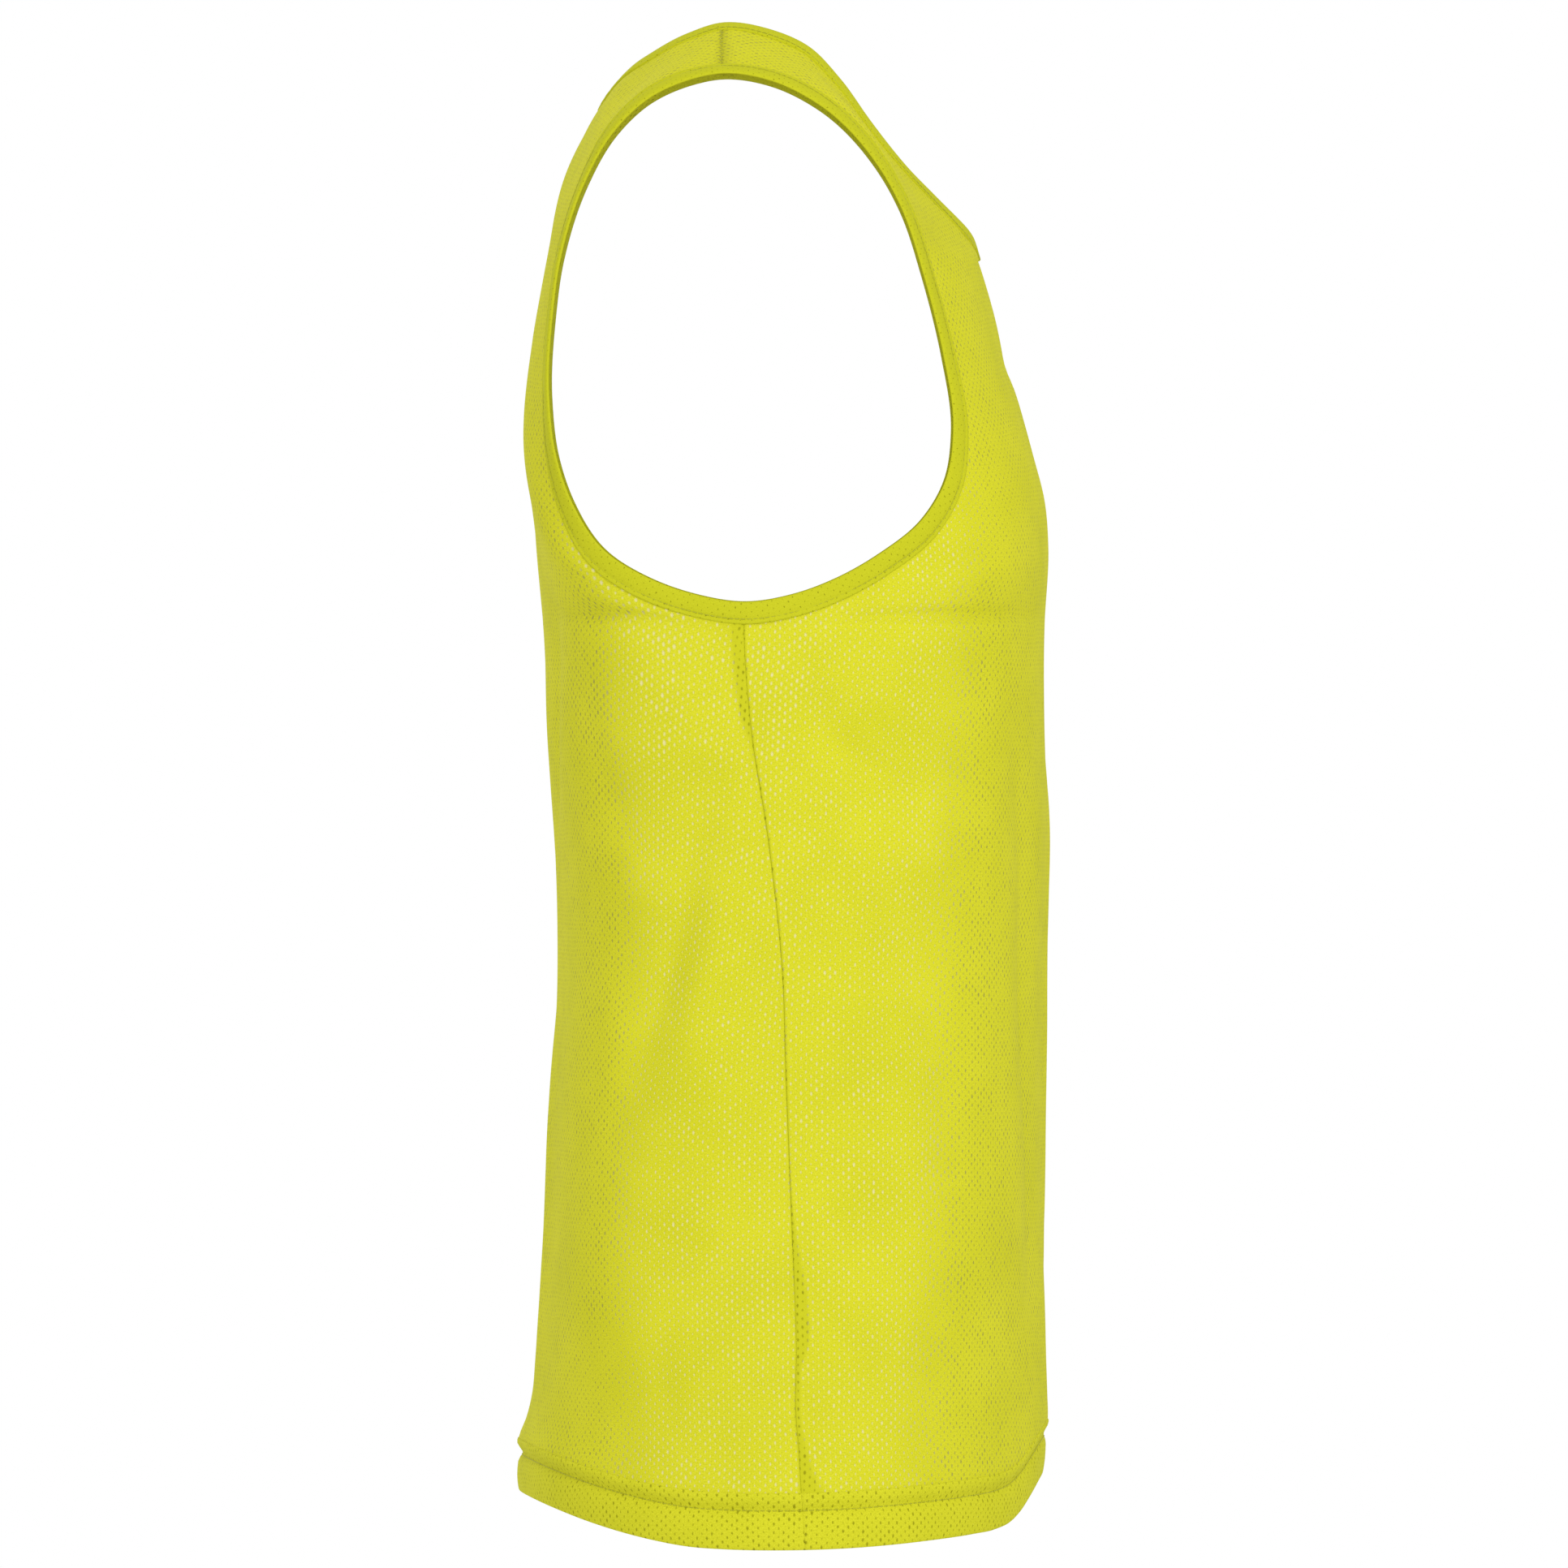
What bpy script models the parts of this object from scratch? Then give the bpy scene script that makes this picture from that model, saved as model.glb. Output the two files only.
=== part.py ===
"""A sleeveless mesh training bib, filled out as when worn, with neck, armholes and hem open.

The cloth is a wall that follows the garment's own surface. The front faces -Y, the wearer's right
side is at -X, and the origin is midway between the two shoulder seams. Each panel is a family of
rows: a row leaves the centre line (or the neck edge above it), turns round the side of the body and
ends on the side seam (or the armhole edge above it). Tables are in millimetres and degrees.
"""
import bmesh
import bpy
import numpy as np

MM = 0.001
NAME = "mesh_training_bib"

# Cloth and sewing sizes, in millimetres.
PANEL_WALL = 1.0
BAND_WALL = 1.6
HEM_WALL = 1.6
SEAM_GAP = 0.3
BAND_WIDTH = 10.0
HEM_HEIGHT = 26.0
SEAM_STEP = 3.0

# How finely the solids are divided.
LOW_ROWS = 15
ARMHOLE_ROWS = 13
STRAP_ROWS = 9
HALF_COLUMNS = 15
BAND_COLUMNS = 3
SAMPLES = 160

# How the rows turn: the widest squareness, how much of it the rows beside the armhole keep, how far
# from the centre line a row leaves level, and the least angle that a corner is worked out with.
MOST_SQUARE = 0.9
ARMHOLE_SQUARE = 0.8
LEVEL_WIDTH = 40.0
LEAST_TURN = 0.02
FADE = 0.7

# Points closer than this are one point, and a point this near to the centre line is on it.
SAME_POINT = 0.02
ON_CENTRE = 0.01

# The body of the garment at each height: where the centre front, centre back and side seam lie,
# half the width across, and how square the front and back corners are (0 round, 1 boxy).
BODY_COLUMNS = ("z", "front_y", "back_y", "side_y", "half_width", "front_square", "back_square")
BODY = (
    (-700, -146, 93.5, -39, 196, 0.00, 0.25),
    (-657, -147.5, 93.5, -36, 194, 0.02, 0.30),
    (-640, -148.6, 92.4, -35, 193.5, 0.04, 0.32),
    (-629, -149.2, 89.8, -34, 193, 0.06, 0.35),
    (-594, -149.2, 85.6, -34, 191, 0.12, 0.50),
    (-540, -147.0, 80.2, -32, 189, 0.25, 0.60),
    (-463, -146.6, 77.6, -29, 187, 0.30, 0.55),
    (-430, -146.6, 76.0, -28, 186, 0.28, 0.50),
    (-362, -149.3, 77.8, -21, 185, 0.34, 0.55),
    (-310, -148.1, 80.8, -13, 184, 0.45, 0.60),
    (-265, -148.5, 82.6, -10, 185, 0.55, 0.60),
    (-228, -150.0, 85.4, -11, 183, 0.52, 0.50),
    (-209, -148.5, 86.6, -11, 181, 0.46, 0.45),
    (-187, -143.2, 87.5, -11, 178, 0.40, 0.40),
    (-160, -135.8, 86.2, -11, 174, 0.30, 0.33),
    (-142, -129.8, 83.5, -11, 172, 0.22, 0.30),
    (-123, -125.3, 80.5, -11, 168, 0.15, 0.25),
    (-97, -118.0, 75.5, -11, 165, 0.08, 0.18),
    (-67, -108.0, 68.5, -11, 160, 0.00, 0.10),
    (-30, -95.0, 57.5, -11, 155, 0.00, 0.00),
)

# The lower edge of the hem as it shows from the side: it dips between the front and the back.
# Columns: y, z.
HEM = (
    (-150, -654),
    (-147.5, -656.7),
    (-142, -665.5),
    (-138.4, -671),
    (-133, -676.6),
    (-126, -679.8),
    (-116, -681.6),
    (-97, -683.9),
    (-60, -687),
    (-30, -688),
    (0, -687.6),
    (15, -686.6),
    (34, -683.3),
    (48, -679.9),
    (63, -675.4),
    (78, -670),
    (94, -663.8),
)
HEM_SIDE_ROW = 9

# The armhole edge, from the side seam forward, up over the shoulder and down the back. The facing
# is the compass direction of the cloth there (0 front, 90 side, 180 back) and the lean is how far
# it faces upward. Columns: x, y, z, facing, lean.
ARMHOLE = (
    (185, -11, -254.4, 90, 2),
    (184, -33.7, -250.6, 84, 2),
    (182, -54.2, -242.7, 77, 3),
    (178.5, -72.9, -231.9, 69, 4),
    (170.5, -91.6, -216.9, 58, 6),
    (161.5, -102.8, -197.8, 47, 8),
    (153.5, -105.9, -175.4, 38, 10),
    (145.5, -101.7, -141.7, 29, 14),
    (141.5, -92.8, -104.3, 25, 20),
    (141, -82.4, -74, 26, 27),
    (142, -72.4, -56, 30, 33),
    (146, -44.9, -26.6, 48, 50),
    (149, -22.4, -15.2, 68, 62),
    (151, 0, -12, 90, 69),
    (150.5, 15, -15.2, 110, 64),
    (149.5, 33.7, -23.9, 138, 54),
    (149, 49.5, -38.6, 153, 44),
    (149, 63.4, -62, 167, 30),
    (150.5, 74.4, -97, 171, 16),
    (152, 77.8, -123, 171, 9),
    (154, 79.7, -160.4, 168, 3),
    (158, 76.7, -186.6, 158, -2),
    (164, 68.8, -209, 143, -3),
    (173, 54.2, -230.4, 122, -1),
    (181, 33.7, -243.4, 107, 0),
    (184, 13, -250.8, 97, 1),
)
ARMHOLE_SHOULDER = 13

# The neck edge on the wearer's left, from the centre front over the shoulder to the centre back,
# with the armhole's columns.
NECK = (
    (0, -115, -88, 0, 18),
    (35, -111, -81.2, 6, 24),
    (54, -97, -67, 10, 32),
    (70, -82.3, -52, 15, 39),
    (78, -67.3, -33.3, 22, 45),
    (82.5, -53.9, -14.6, 30, 52),
    (84, -39.6, 0.4, 42, 59),
    (85, -22, 8.4, 62, 67),
    (85, 0, 11.4, 90, 72),
    (82.5, 16.5, 6, 120, 67),
    (72, 33.7, -3.7, 148, 56),
    (45, 45, -12.7, 166, 44),
    (0, 51.6, -20, 180, 34),
)
NECK_SHOULDER = 8

# Relief of the hem: height above the edge, and how far the cloth stands out there. The cloth is
# pinched at the stitch line and rolls outward just above it, more at the back than at the front.
# Columns: height, out.
HEM_RELIEF = (
    (0, 0.0),
    (9, 0.5),
    (15, 0.1),
    (18, -0.9),
    (22, 0.9),
    (26, 1.0),
    (34, 0.45),
    (48, 0.0),
    (60, 0.0),
)
HEM_ROW_HEIGHTS = (0, 9, 15, 18, 21, 24, 26)
ROLL_FRONT = 0.9
ROLL_BACK = 1.5

# The largest folds, each seen from one side of the garment: how far it stands out (minus for a
# trough), its half width, and its path as pairs of across and z. Across is y on the two sides and
# x on the front and back. Columns: side, out, width, path.
FOLDS = (
    ("right", -3.2, 15, ((75, -258), (60, -325), (41, -362), (22, -384))),
    ("right", -3.8, 15, ((8, -325), (15, -381), (24, -424), (36, -462), (53, -501), (72, -540))),
    ("right", 3.0, 15, ((-5, -365), (4, -410), (13, -440), (25, -478))),
    ("right", 2.2, 13, ((64, -400), (60, -440), (66, -500))),
    ("right", -2.8, 13, ((-34, -268), (-47, -312), (-64, -328), (-100, -350))),
    ("right", -2.6, 17, ((-74, -385), (-97, -448), (-109, -520))),
    ("left", -3.4, 16, ((66, -262), (52, -330), (30, -385), (16, -440))),
    ("left", 2.8, 15, ((-8, -350), (8, -420), (30, -480))),
    ("left", -3.2, 15, ((-40, -276), (-60, -325), (-92, -362))),
    ("left", -2.8, 17, ((-20, -470), (-62, -520), (-98, -575))),
    ("front", -3.4, 20, ((-118, -300), (-84, -390), (-66, -500), (-62, -600))),
    ("front", -3.0, 19, ((112, -290), (92, -380), (54, -470))),
    ("front", 2.6, 20, ((20, -330), (6, -430), (16, -560))),
    ("back", -3.4, 18, ((-116, -250), (-70, -330), (-20, -372))),
    ("back", -3.0, 18, ((110, -262), (66, -345), (30, -400), (34, -470))),
    ("back", 2.6, 20, ((-40, -440), (-52, -530), (-44, -620))),
)
SIDE_VIEWS = {
    "right": (np.array((-1.0, 0.0, 0.0)), 1),
    "left": (np.array((1.0, 0.0, 0.0)), 1),
    "front": (np.array((0.0, -1.0, 0.0)), 0),
    "back": (np.array((0.0, 1.0, 0.0)), 0),
}

CLOTH = {"colour": (0.70, 0.68, 0.04, 1.0), "roughness": 0.85}
BINDING = {"colour": (0.58, 0.58, 0.03, 1.0), "roughness": 0.85}


def smooth(knots, values, at):
    """Cubic pieces through the values, each knot sloped like the parabola through its neighbours."""
    knots = np.asarray(knots, float)
    values = np.asarray(values, float)
    step = np.diff(knots)
    rise = np.diff(values, axis=0) / step[:, None]
    slope = np.empty_like(values)
    slope[0], slope[-1] = rise[0], rise[-1]
    before, after = step[:-1, None], step[1:, None]
    slope[1:-1] = (after * rise[:-1] + before * rise[1:]) / (before + after)
    at = np.clip(np.asarray(at, float), knots[0], knots[-1])
    piece = np.clip(np.searchsorted(knots, at, side="right") - 1, 0, len(step) - 1)
    width = step[piece][:, None]
    part = ((at - knots[piece])[:, None]) / width
    return (
        (2 * part**3 - 3 * part**2 + 1) * values[piece]
        + (part**3 - 2 * part**2 + part) * width * slope[piece]
        + (3 * part**2 - 2 * part**3) * values[piece + 1]
        + (part**3 - part**2) * width * slope[piece + 1]
    )


def unit(vectors):
    """The vectors at length one."""
    return vectors / np.linalg.norm(vectors, axis=-1, keepdims=True)


def body(z, *names):
    """Columns of the body table at the heights z, in metres where they are lengths."""
    table = np.array(BODY, float)
    picked = [BODY_COLUMNS.index(name) for name in names]
    return smooth(table[:, 0], table[:, picked], np.asarray(z) / MM).T


def hem_z(y):
    """Height of the hem's lower edge where the cloth lies at y."""
    table = np.array(HEM, float)
    return smooth(table[:, 0], table[:, 1:], np.ravel(y) / MM)[:, 0].reshape(np.shape(y)) * MM


class Edge:
    """A bound edge of the garment: a smooth curve that knows which way its cloth faces."""

    def __init__(self, rows, closed):
        table = np.array(rows, float)
        if closed:
            table = np.vstack((table[-1:], table, table[:2]))
        else:
            flip = np.array((-1, 1, 1, -1, 1), float)
            first, last = table[1] * flip, table[-2] * flip
            last[3] += 360
            table = np.vstack((first, table, last))
        chord = np.linalg.norm(np.diff(table[:, :3], axis=0), axis=1)
        knots = np.concatenate(((0,), np.cumsum(chord)))
        self.knots = knots - knots[1]
        self.table = table
        self.inward = 1 if closed else -1

    def place(self, row):
        """Distance along the edge to a row of its table."""
        return self.knots[row + 1]

    def frame(self, along):
        """Points, outward normals and directions into the cloth, at distances along the edge."""
        along = np.asarray(along, float)
        found = smooth(self.knots, self.table, along)
        ahead = smooth(self.knots, self.table[:, :3], along + 1)
        behind = smooth(self.knots, self.table[:, :3], along - 1)
        tangent = unit(ahead - behind)
        facing, lean = np.radians(found[:, 3]), np.radians(found[:, 4])
        normal = np.stack(
            (np.sin(facing) * np.cos(lean), -np.cos(facing) * np.cos(lean), np.sin(lean)), axis=1
        )
        normal = unit(normal - np.sum(normal * tangent, axis=1, keepdims=True) * tangent)
        inward = self.inward * np.cross(normal, tangent)
        return found[:, :3] * MM, normal, inward


def folds(points, normals):
    """How far the folds move each point along its normal. A fold is a bell across its path that
    fades to nothing at both ends and where the cloth turns away from the side that it is on."""
    out = np.zeros(points.shape[:-1])
    for side, depth, width, path in FOLDS:
        view, axis = SIDE_VIEWS[side]
        seen = np.stack((points[..., axis], points[..., 2]), axis=-1) / MM
        path = np.array(path, float)
        length = np.concatenate(((0,), np.cumsum(np.linalg.norm(np.diff(path, axis=0), axis=1))))
        nearest = np.full(out.shape, np.inf)
        along = np.zeros(out.shape)
        for start, end, begun, total in zip(path[:-1], path[1:], length[:-1], np.diff(length)):
            part = np.clip(np.sum((seen - start) * (end - start), axis=-1) / total**2, 0, 1)
            away = np.linalg.norm(seen - start - part[..., None] * (end - start), axis=-1)
            along = np.where(away < nearest, begun + part * total, along)
            nearest = np.minimum(nearest, away)
        share = along / length[-1]
        facing = np.clip(np.sum(normals * view, axis=-1), 0, 1)
        out += depth * facing * np.sin(np.pi * share) ** FADE * np.exp(-((nearest / width) ** 2))
    return out * MM


def relief(height, y):
    """How far the hem's pinch and roll stand out, at a height above the edge."""
    table = np.array(HEM_RELIEF, float)
    out = smooth(table[:, 0], table[:, 1:], np.ravel(height) / MM)[:, 0].reshape(np.shape(height))
    front, back = HEM[0][0] * MM, HEM[-1][0] * MM
    share = np.clip((y - front) / (back - front), 0, 1)
    return out * (ROLL_FRONT + (ROLL_BACK - ROLL_FRONT) * share) * MM


def sweep(inner, inner_way, outer, outer_normal, square):
    """A row from each inner point to its outer point: a cubic curve that leaves along inner_way and
    lands flat on the cloth there, with its corner drawn out by the squareness. Sampled evenly."""
    chord = outer - inner
    length = np.linalg.norm(chord, axis=1, keepdims=True)
    outer_way = unit(chord - np.sum(chord * outer_normal, axis=1, keepdims=True) * outer_normal)
    turn_in = np.arccos(np.clip(np.sum(chord * inner_way, axis=1, keepdims=True) / length, -1, 1))
    turn_out = np.arccos(np.clip(np.sum(chord * outer_way, axis=1, keepdims=True) / length, -1, 1))
    turn = turn_in + turn_out + LEAST_TURN
    reach_in = length * (np.sin(turn_out) + LEAST_TURN) / (np.sin(turn) + 2 * LEAST_TURN)
    reach_out = length * (np.sin(turn_in) + LEAST_TURN) / (np.sin(turn) + 2 * LEAST_TURN)
    round_share = 4 / 3 * np.tan(turn / 4) / np.tan(turn / 2)
    share = round_share + (1 - round_share) * square[:, None]
    first = inner + share * reach_in * inner_way
    second = outer - share * reach_out * outer_way
    t = np.linspace(0, 1, SAMPLES)[None, :, None]
    return (
        (1 - t) ** 3 * inner[:, None]
        + 3 * (1 - t) ** 2 * t * first[:, None]
        + 3 * (1 - t) * t**2 * second[:, None]
        + t**3 * outer[:, None]
    )


def steps_to_seam(length, count):
    """Even steps along a length, but for a short last one, which keeps a wall's end square to the
    seam that it meets."""
    return np.append(np.linspace(0, length - SEAM_STEP, count), length)


def evenly(rows, columns):
    """Each row again with its points at even steps to the seam."""
    step = np.linalg.norm(np.diff(rows, axis=1), axis=2)
    along = np.concatenate((np.zeros((len(rows), 1)), np.cumsum(step, axis=1)), axis=1)
    even = []
    for far, row in zip(along, rows):
        stops = steps_to_seam(far[-1] / MM, columns) * MM
        even.append(np.stack([np.interp(stops, far, row[:, axis]) for axis in range(3)], axis=1))
    return np.stack(even)


def grid_normals(grid, sign, seam_rows):
    """Outward normals of a grid whose rows climb and whose columns run outward. On the centre line
    they have no sideways part, and on the side seam no forward part, so that the pieces meet."""
    across = np.gradient(grid, axis=1)
    upward = np.gradient(grid, axis=0)
    normals = np.cross(across, upward) * sign
    on_centre = np.abs(grid[..., 0]) < ON_CENTRE * MM
    normals[on_centre, 0] = 0
    normals[:seam_rows, -1, 1] = 0
    return unit(normals)


class Half:
    """The left half of one panel. Its rows are the hem's, then those below the armhole, then those
    beside it up to the neck, then the strap's."""

    def __init__(self, front, armhole, neck):
        self.front = front
        self.facing = -1 if front else 1
        self.armhole = armhole
        self.neck = neck
        top = armhole.place(ARMHOLE_SHOULDER)
        whole = armhole.place(len(ARMHOLE))
        count = ARMHOLE_ROWS + STRAP_ROWS
        neck_top = neck.place(NECK_SHOULDER)
        neck_end = neck.place(len(NECK) - 1)
        if front:
            self.armhole_along = steps_to_seam(top, count)
            self.neck_along = steps_to_seam(neck_top, STRAP_ROWS)
        else:
            self.armhole_along = whole - steps_to_seam(whole - top, count)
            self.neck_along = neck_end - steps_to_seam(neck_end - neck_top, STRAP_ROWS)

    def centre_line(self, z):
        """Points of the centre front or centre back."""
        y, = body(z, "front_y" if self.front else "back_y")
        return np.stack((np.zeros(len(z)), y * MM, z), axis=1)

    def side_seam(self, z):
        """Points of the side seam, half a seam's gap from the other panel, and their normals."""
        y, x = body(z, "side_y", "half_width")
        above, = body(z + MM, "half_width")
        points = np.stack((x * MM, y * MM + self.facing * SEAM_GAP * MM / 2, z), axis=1)
        return points, unit(np.stack((np.ones(len(z)), np.zeros(len(z)), x - above), axis=1))

    def square(self, z):
        """How square the corner is at each height."""
        found, = body(z, "front_square" if self.front else "back_square")
        return np.clip(found, 0, MOST_SQUARE)

    def armhole_side(self):
        """The panel's boundary beside the armhole band, from the side seam to the shoulder."""
        points, normals, inward = self.armhole.frame(self.armhole_along)
        points = points + inward * (BAND_WIDTH + SEAM_GAP) * MM
        points[[0, -1], 1] += self.facing * SEAM_GAP * MM / 2
        return points, normals

    def neck_side(self):
        """The panel's boundary beside the neck band, from the centre line to the shoulder."""
        points, normals, inward = self.neck.frame(self.neck_along)
        points = points + inward * (BAND_WIDTH + SEAM_GAP) * MM
        points[-1, 1] += self.facing * SEAM_GAP * MM / 2
        points[0, 0] = 0
        return points, normals

    def below(self, heights):
        """Rows at the given shares of the way from the hem's edge up to the armhole."""
        top = self.armhole_side()[0][0, 2]
        share = np.asarray(heights)[:, None]
        centre_y, = body(np.array((HEM[0][1] * MM,)), "front_y" if self.front else "back_y")
        centre_z = (1 - share[:, 0]) * hem_z(centre_y * MM) + share[:, 0] * top
        side_y, = body(np.array((HEM[HEM_SIDE_ROW][1] * MM,)), "side_y")
        side_z = (1 - share[:, 0]) * hem_z(side_y * MM) + share[:, 0] * top
        side, side_normal = self.side_seam(side_z)
        inner = self.centre_line(centre_z)
        way = np.tile((1.0, 0.0, 0.0), (len(inner), 1))
        rows = sweep(inner, way, side, side_normal, self.square(side_z))
        rows[..., 2] = (1 - share) * hem_z(rows[..., 1]) + share * top
        return rows

    def beside(self):
        """Rows beside the armhole, and across the strap, above the armhole's lowest point."""
        outer, outer_normal = self.armhole_side()
        neck, neck_normal = self.neck_side()
        first, last = outer[0, 2], neck[0, 2]
        step = np.linspace(0, 1, ARMHOLE_ROWS + 1)[1:]
        level = np.interp(step, np.linspace(0, 1, ARMHOLE_ROWS), outer[1:ARMHOLE_ROWS + 1, 2])
        level = (level - first) / (level[-1] - first)
        centre = self.centre_line(first + (last - first) * (0.5 * level + 0.5 * step))
        centre[-1] = neck[0]
        inner = np.vstack((centre, neck[1:]))
        chord = outer[1:] - inner
        normal = np.vstack((np.tile((0.0, self.facing, 0.0), (len(centre), 1)), neck_normal[1:]))
        way = unit(chord - np.sum(chord * normal, axis=1, keepdims=True) * normal)
        free = np.clip(inner[:, :1] / (LEVEL_WIDTH * MM), 0, 1)
        way = unit(free * way + (1 - free) * np.array((1.0, 0.0, 0.0)))
        square = self.square(outer[1:, 2]) * ARMHOLE_SQUARE
        return sweep(inner, way, outer[1:], outer_normal[1:], square)

    def drop(self):
        """Height of the side seam, from the hem's edge to the armhole."""
        return self.armhole_side()[0][0, 2] - HEM[HEM_SIDE_ROW][1] * MM

    def panel(self, columns):
        """The panel's grid, from just above the hem to the shoulder seam."""
        start = (HEM_HEIGHT + SEAM_GAP) * MM / self.drop()
        heights = start + (1 - start) * np.linspace(0, 1, LOW_ROWS + 1)
        return evenly(np.vstack((self.below(heights), self.beside())), columns)

    def hem(self, columns):
        """The hem's grid, from its lower edge to its upper one."""
        return evenly(self.below(np.array(HEM_ROW_HEIGHTS) * MM / self.drop()), columns)

    def finish(self, grid, sign, seam_rows):
        """The grid on the wearer's left (1) or right (-1), moved out by the folds and the hem."""
        normals = grid_normals(grid, -self.facing, seam_rows)
        flip = np.array((sign, 1.0, 1.0))
        grid, normals = grid * flip, normals * flip
        height = np.maximum(grid[..., 2] - hem_z(grid[..., 1]), 0)
        out = folds(grid, normals) + relief(height, grid[..., 1])
        return grid + normals * out[..., None]


def new_object(name, vertices, faces, look):
    """An open surface as a named object, with its doubles merged."""
    mesh = bpy.data.meshes.new(name)
    mesh.from_pydata(vertices.tolist(), [], faces)
    work = bmesh.new()
    work.from_mesh(mesh)
    bmesh.ops.remove_doubles(work, verts=work.verts, dist=SAME_POINT * MM)
    work.to_mesh(mesh)
    work.free()
    mesh.shade_smooth()
    made = bpy.data.objects.new(name, mesh)
    made.data.materials.append(material(name, look))
    return made


def material(name, look):
    """The piece's own cloth."""
    made = bpy.data.materials.new(name + "_cloth")
    made.use_nodes = True
    shader = made.node_tree.nodes["Principled BSDF"]
    shader.inputs["Base Color"].default_value = look["colour"]
    shader.inputs["Roughness"].default_value = look["roughness"]
    shader.inputs["Metallic"].default_value = 0.0
    return made


def grid_faces(rows, columns, start, turned):
    """Quads of a grid of rows by columns points, numbered from start."""
    corner = (np.arange(rows - 1)[:, None] * columns + np.arange(columns - 1)[None, :]).ravel()
    order = (0, 1, columns + 1, columns) if not turned else (0, columns, columns + 1, 1)
    return [tuple(int(start + c + step) for step in order) for c in corner]


def halves(name, half, grid, seam_rows, look):
    """One object from a grid of the left half and its like on the right, facing outward."""
    both = [half.finish(grid, sign, seam_rows) for sign in (1, -1)]
    rows, columns = grid.shape[:2]
    vertices = np.vstack([side.reshape(-1, 3) for side in both])
    left = grid_faces(rows, columns, 0, not half.front)
    right = grid_faces(rows, columns, rows * columns, half.front)
    return new_object(name, vertices, left + right, look)


def strip(name, points, normals, inward, turned, look):
    """A closed band of its full width, laid on the cloth inward from the edge."""
    steps = np.linspace(0, BAND_WIDTH, BAND_COLUMNS)[:, None, None] * MM
    grid = points[None] + steps * inward[None]
    facing = np.broadcast_to(normals, grid.shape)
    grid = grid + facing * folds(grid, facing)[..., None]
    count = len(points)
    faces = []
    for row in range(len(steps) - 1):
        for column in range(count):
            after = (column + 1) % count
            low, high = row * count, (row + 1) * count
            face = (low + column, low + after, high + after, high + column)
            faces.append(face[::-1] if turned else face)
    return new_object(name, grid.reshape(-1, 3), faces, look)


def wall(piece, thickness, offset):
    """Give an open surface its thickness: inward with offset -1, half to each side with 0."""
    shell = piece.modifiers.new("wall", "SOLIDIFY")
    shell.thickness = thickness * MM
    shell.offset = offset
    return piece


def armhole_band(name, sign, front, back):
    """The band of doubled cloth round one armhole, over the side and shoulder seams."""
    along = np.concatenate((front.armhole_along, back.armhole_along[::-1][1:-1]))
    points, normals, inward = front.armhole.frame(along)
    flip = np.array((sign, 1.0, 1.0))
    return strip(name, points * flip, normals * flip, inward * flip, sign < 0, BINDING)


def neck_band(name, front, back):
    """The band round the neck, from the centre front by the left shoulder and back by the right."""
    along = np.concatenate((front.neck_along, back.neck_along[::-1][1:]))
    left = front.neck.frame(along)
    flip = np.array((-1.0, 1.0, 1.0))
    points, normals, inward = [np.vstack((part, part[-2:0:-1] * flip)) for part in left]
    return strip(name, points, normals, inward, True, BINDING)


def clear_scene():
    """Remove whatever the scene holds."""
    for old in list(bpy.data.objects):
        bpy.data.objects.remove(old, do_unlink=True)


def main():
    clear_scene()
    armhole = Edge(ARMHOLE, closed=True)
    neck = Edge(NECK, closed=False)
    front = Half(True, armhole, neck)
    back = Half(False, armhole, neck)
    pieces = []
    for side, half in (("front", front), ("back", back)):
        panel = halves(side + "_panel", half, half.panel(HALF_COLUMNS), LOW_ROWS + 1, CLOTH)
        hem = halves("hem_" + side, half, half.hem(HALF_COLUMNS), len(HEM_ROW_HEIGHTS), CLOTH)
        pieces += [wall(panel, PANEL_WALL, -1), wall(hem, HEM_WALL, -1)]
    pieces += [
        wall(armhole_band("armhole_band_right", -1, front, back), BAND_WALL, 0),
        wall(armhole_band("armhole_band_left", 1, front, back), BAND_WALL, 0),
        wall(neck_band("neck_band", front, back), BAND_WALL, 0),
    ]
    garment = bpy.data.collections.new(NAME)
    bpy.context.scene.collection.children.link(garment)
    for piece in pieces:
        garment.objects.link(piece)


main()
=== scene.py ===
"""Looks of a mesh training bib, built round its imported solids.

The garment's surface is worked out as the cutter's solids are: rows that leave the centre line (or
the neck) and turn round the side to the side seam (or the armhole). Lengths in the tables are in
millimetres and angles in degrees. The front faces -Y and the wearer's right side is at -X.
"""

import math

import bmesh
import bpy
import numpy as np
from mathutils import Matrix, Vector


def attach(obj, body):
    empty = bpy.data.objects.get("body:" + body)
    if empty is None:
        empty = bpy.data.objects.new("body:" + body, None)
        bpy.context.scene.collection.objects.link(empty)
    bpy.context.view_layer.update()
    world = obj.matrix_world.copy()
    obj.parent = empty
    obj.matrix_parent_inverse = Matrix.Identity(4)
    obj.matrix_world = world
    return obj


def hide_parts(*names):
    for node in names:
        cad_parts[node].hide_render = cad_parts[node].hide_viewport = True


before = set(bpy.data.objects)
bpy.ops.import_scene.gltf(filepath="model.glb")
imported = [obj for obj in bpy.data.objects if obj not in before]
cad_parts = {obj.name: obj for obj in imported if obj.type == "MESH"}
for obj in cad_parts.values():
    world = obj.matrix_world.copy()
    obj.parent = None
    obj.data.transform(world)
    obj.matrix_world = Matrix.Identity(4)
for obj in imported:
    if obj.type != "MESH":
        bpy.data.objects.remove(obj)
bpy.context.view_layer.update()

bl_info = {
    "name": "Mesh training bib",
    "version": (1, 0, 0),
    "blender": (4, 5, 0),
    "location": "3D View > Sidebar > Bib",
    "description": "Builds the cloth, sewing and studio of a mesh training bib",
    "category": "Add Mesh",
}

MM = 0.001

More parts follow.
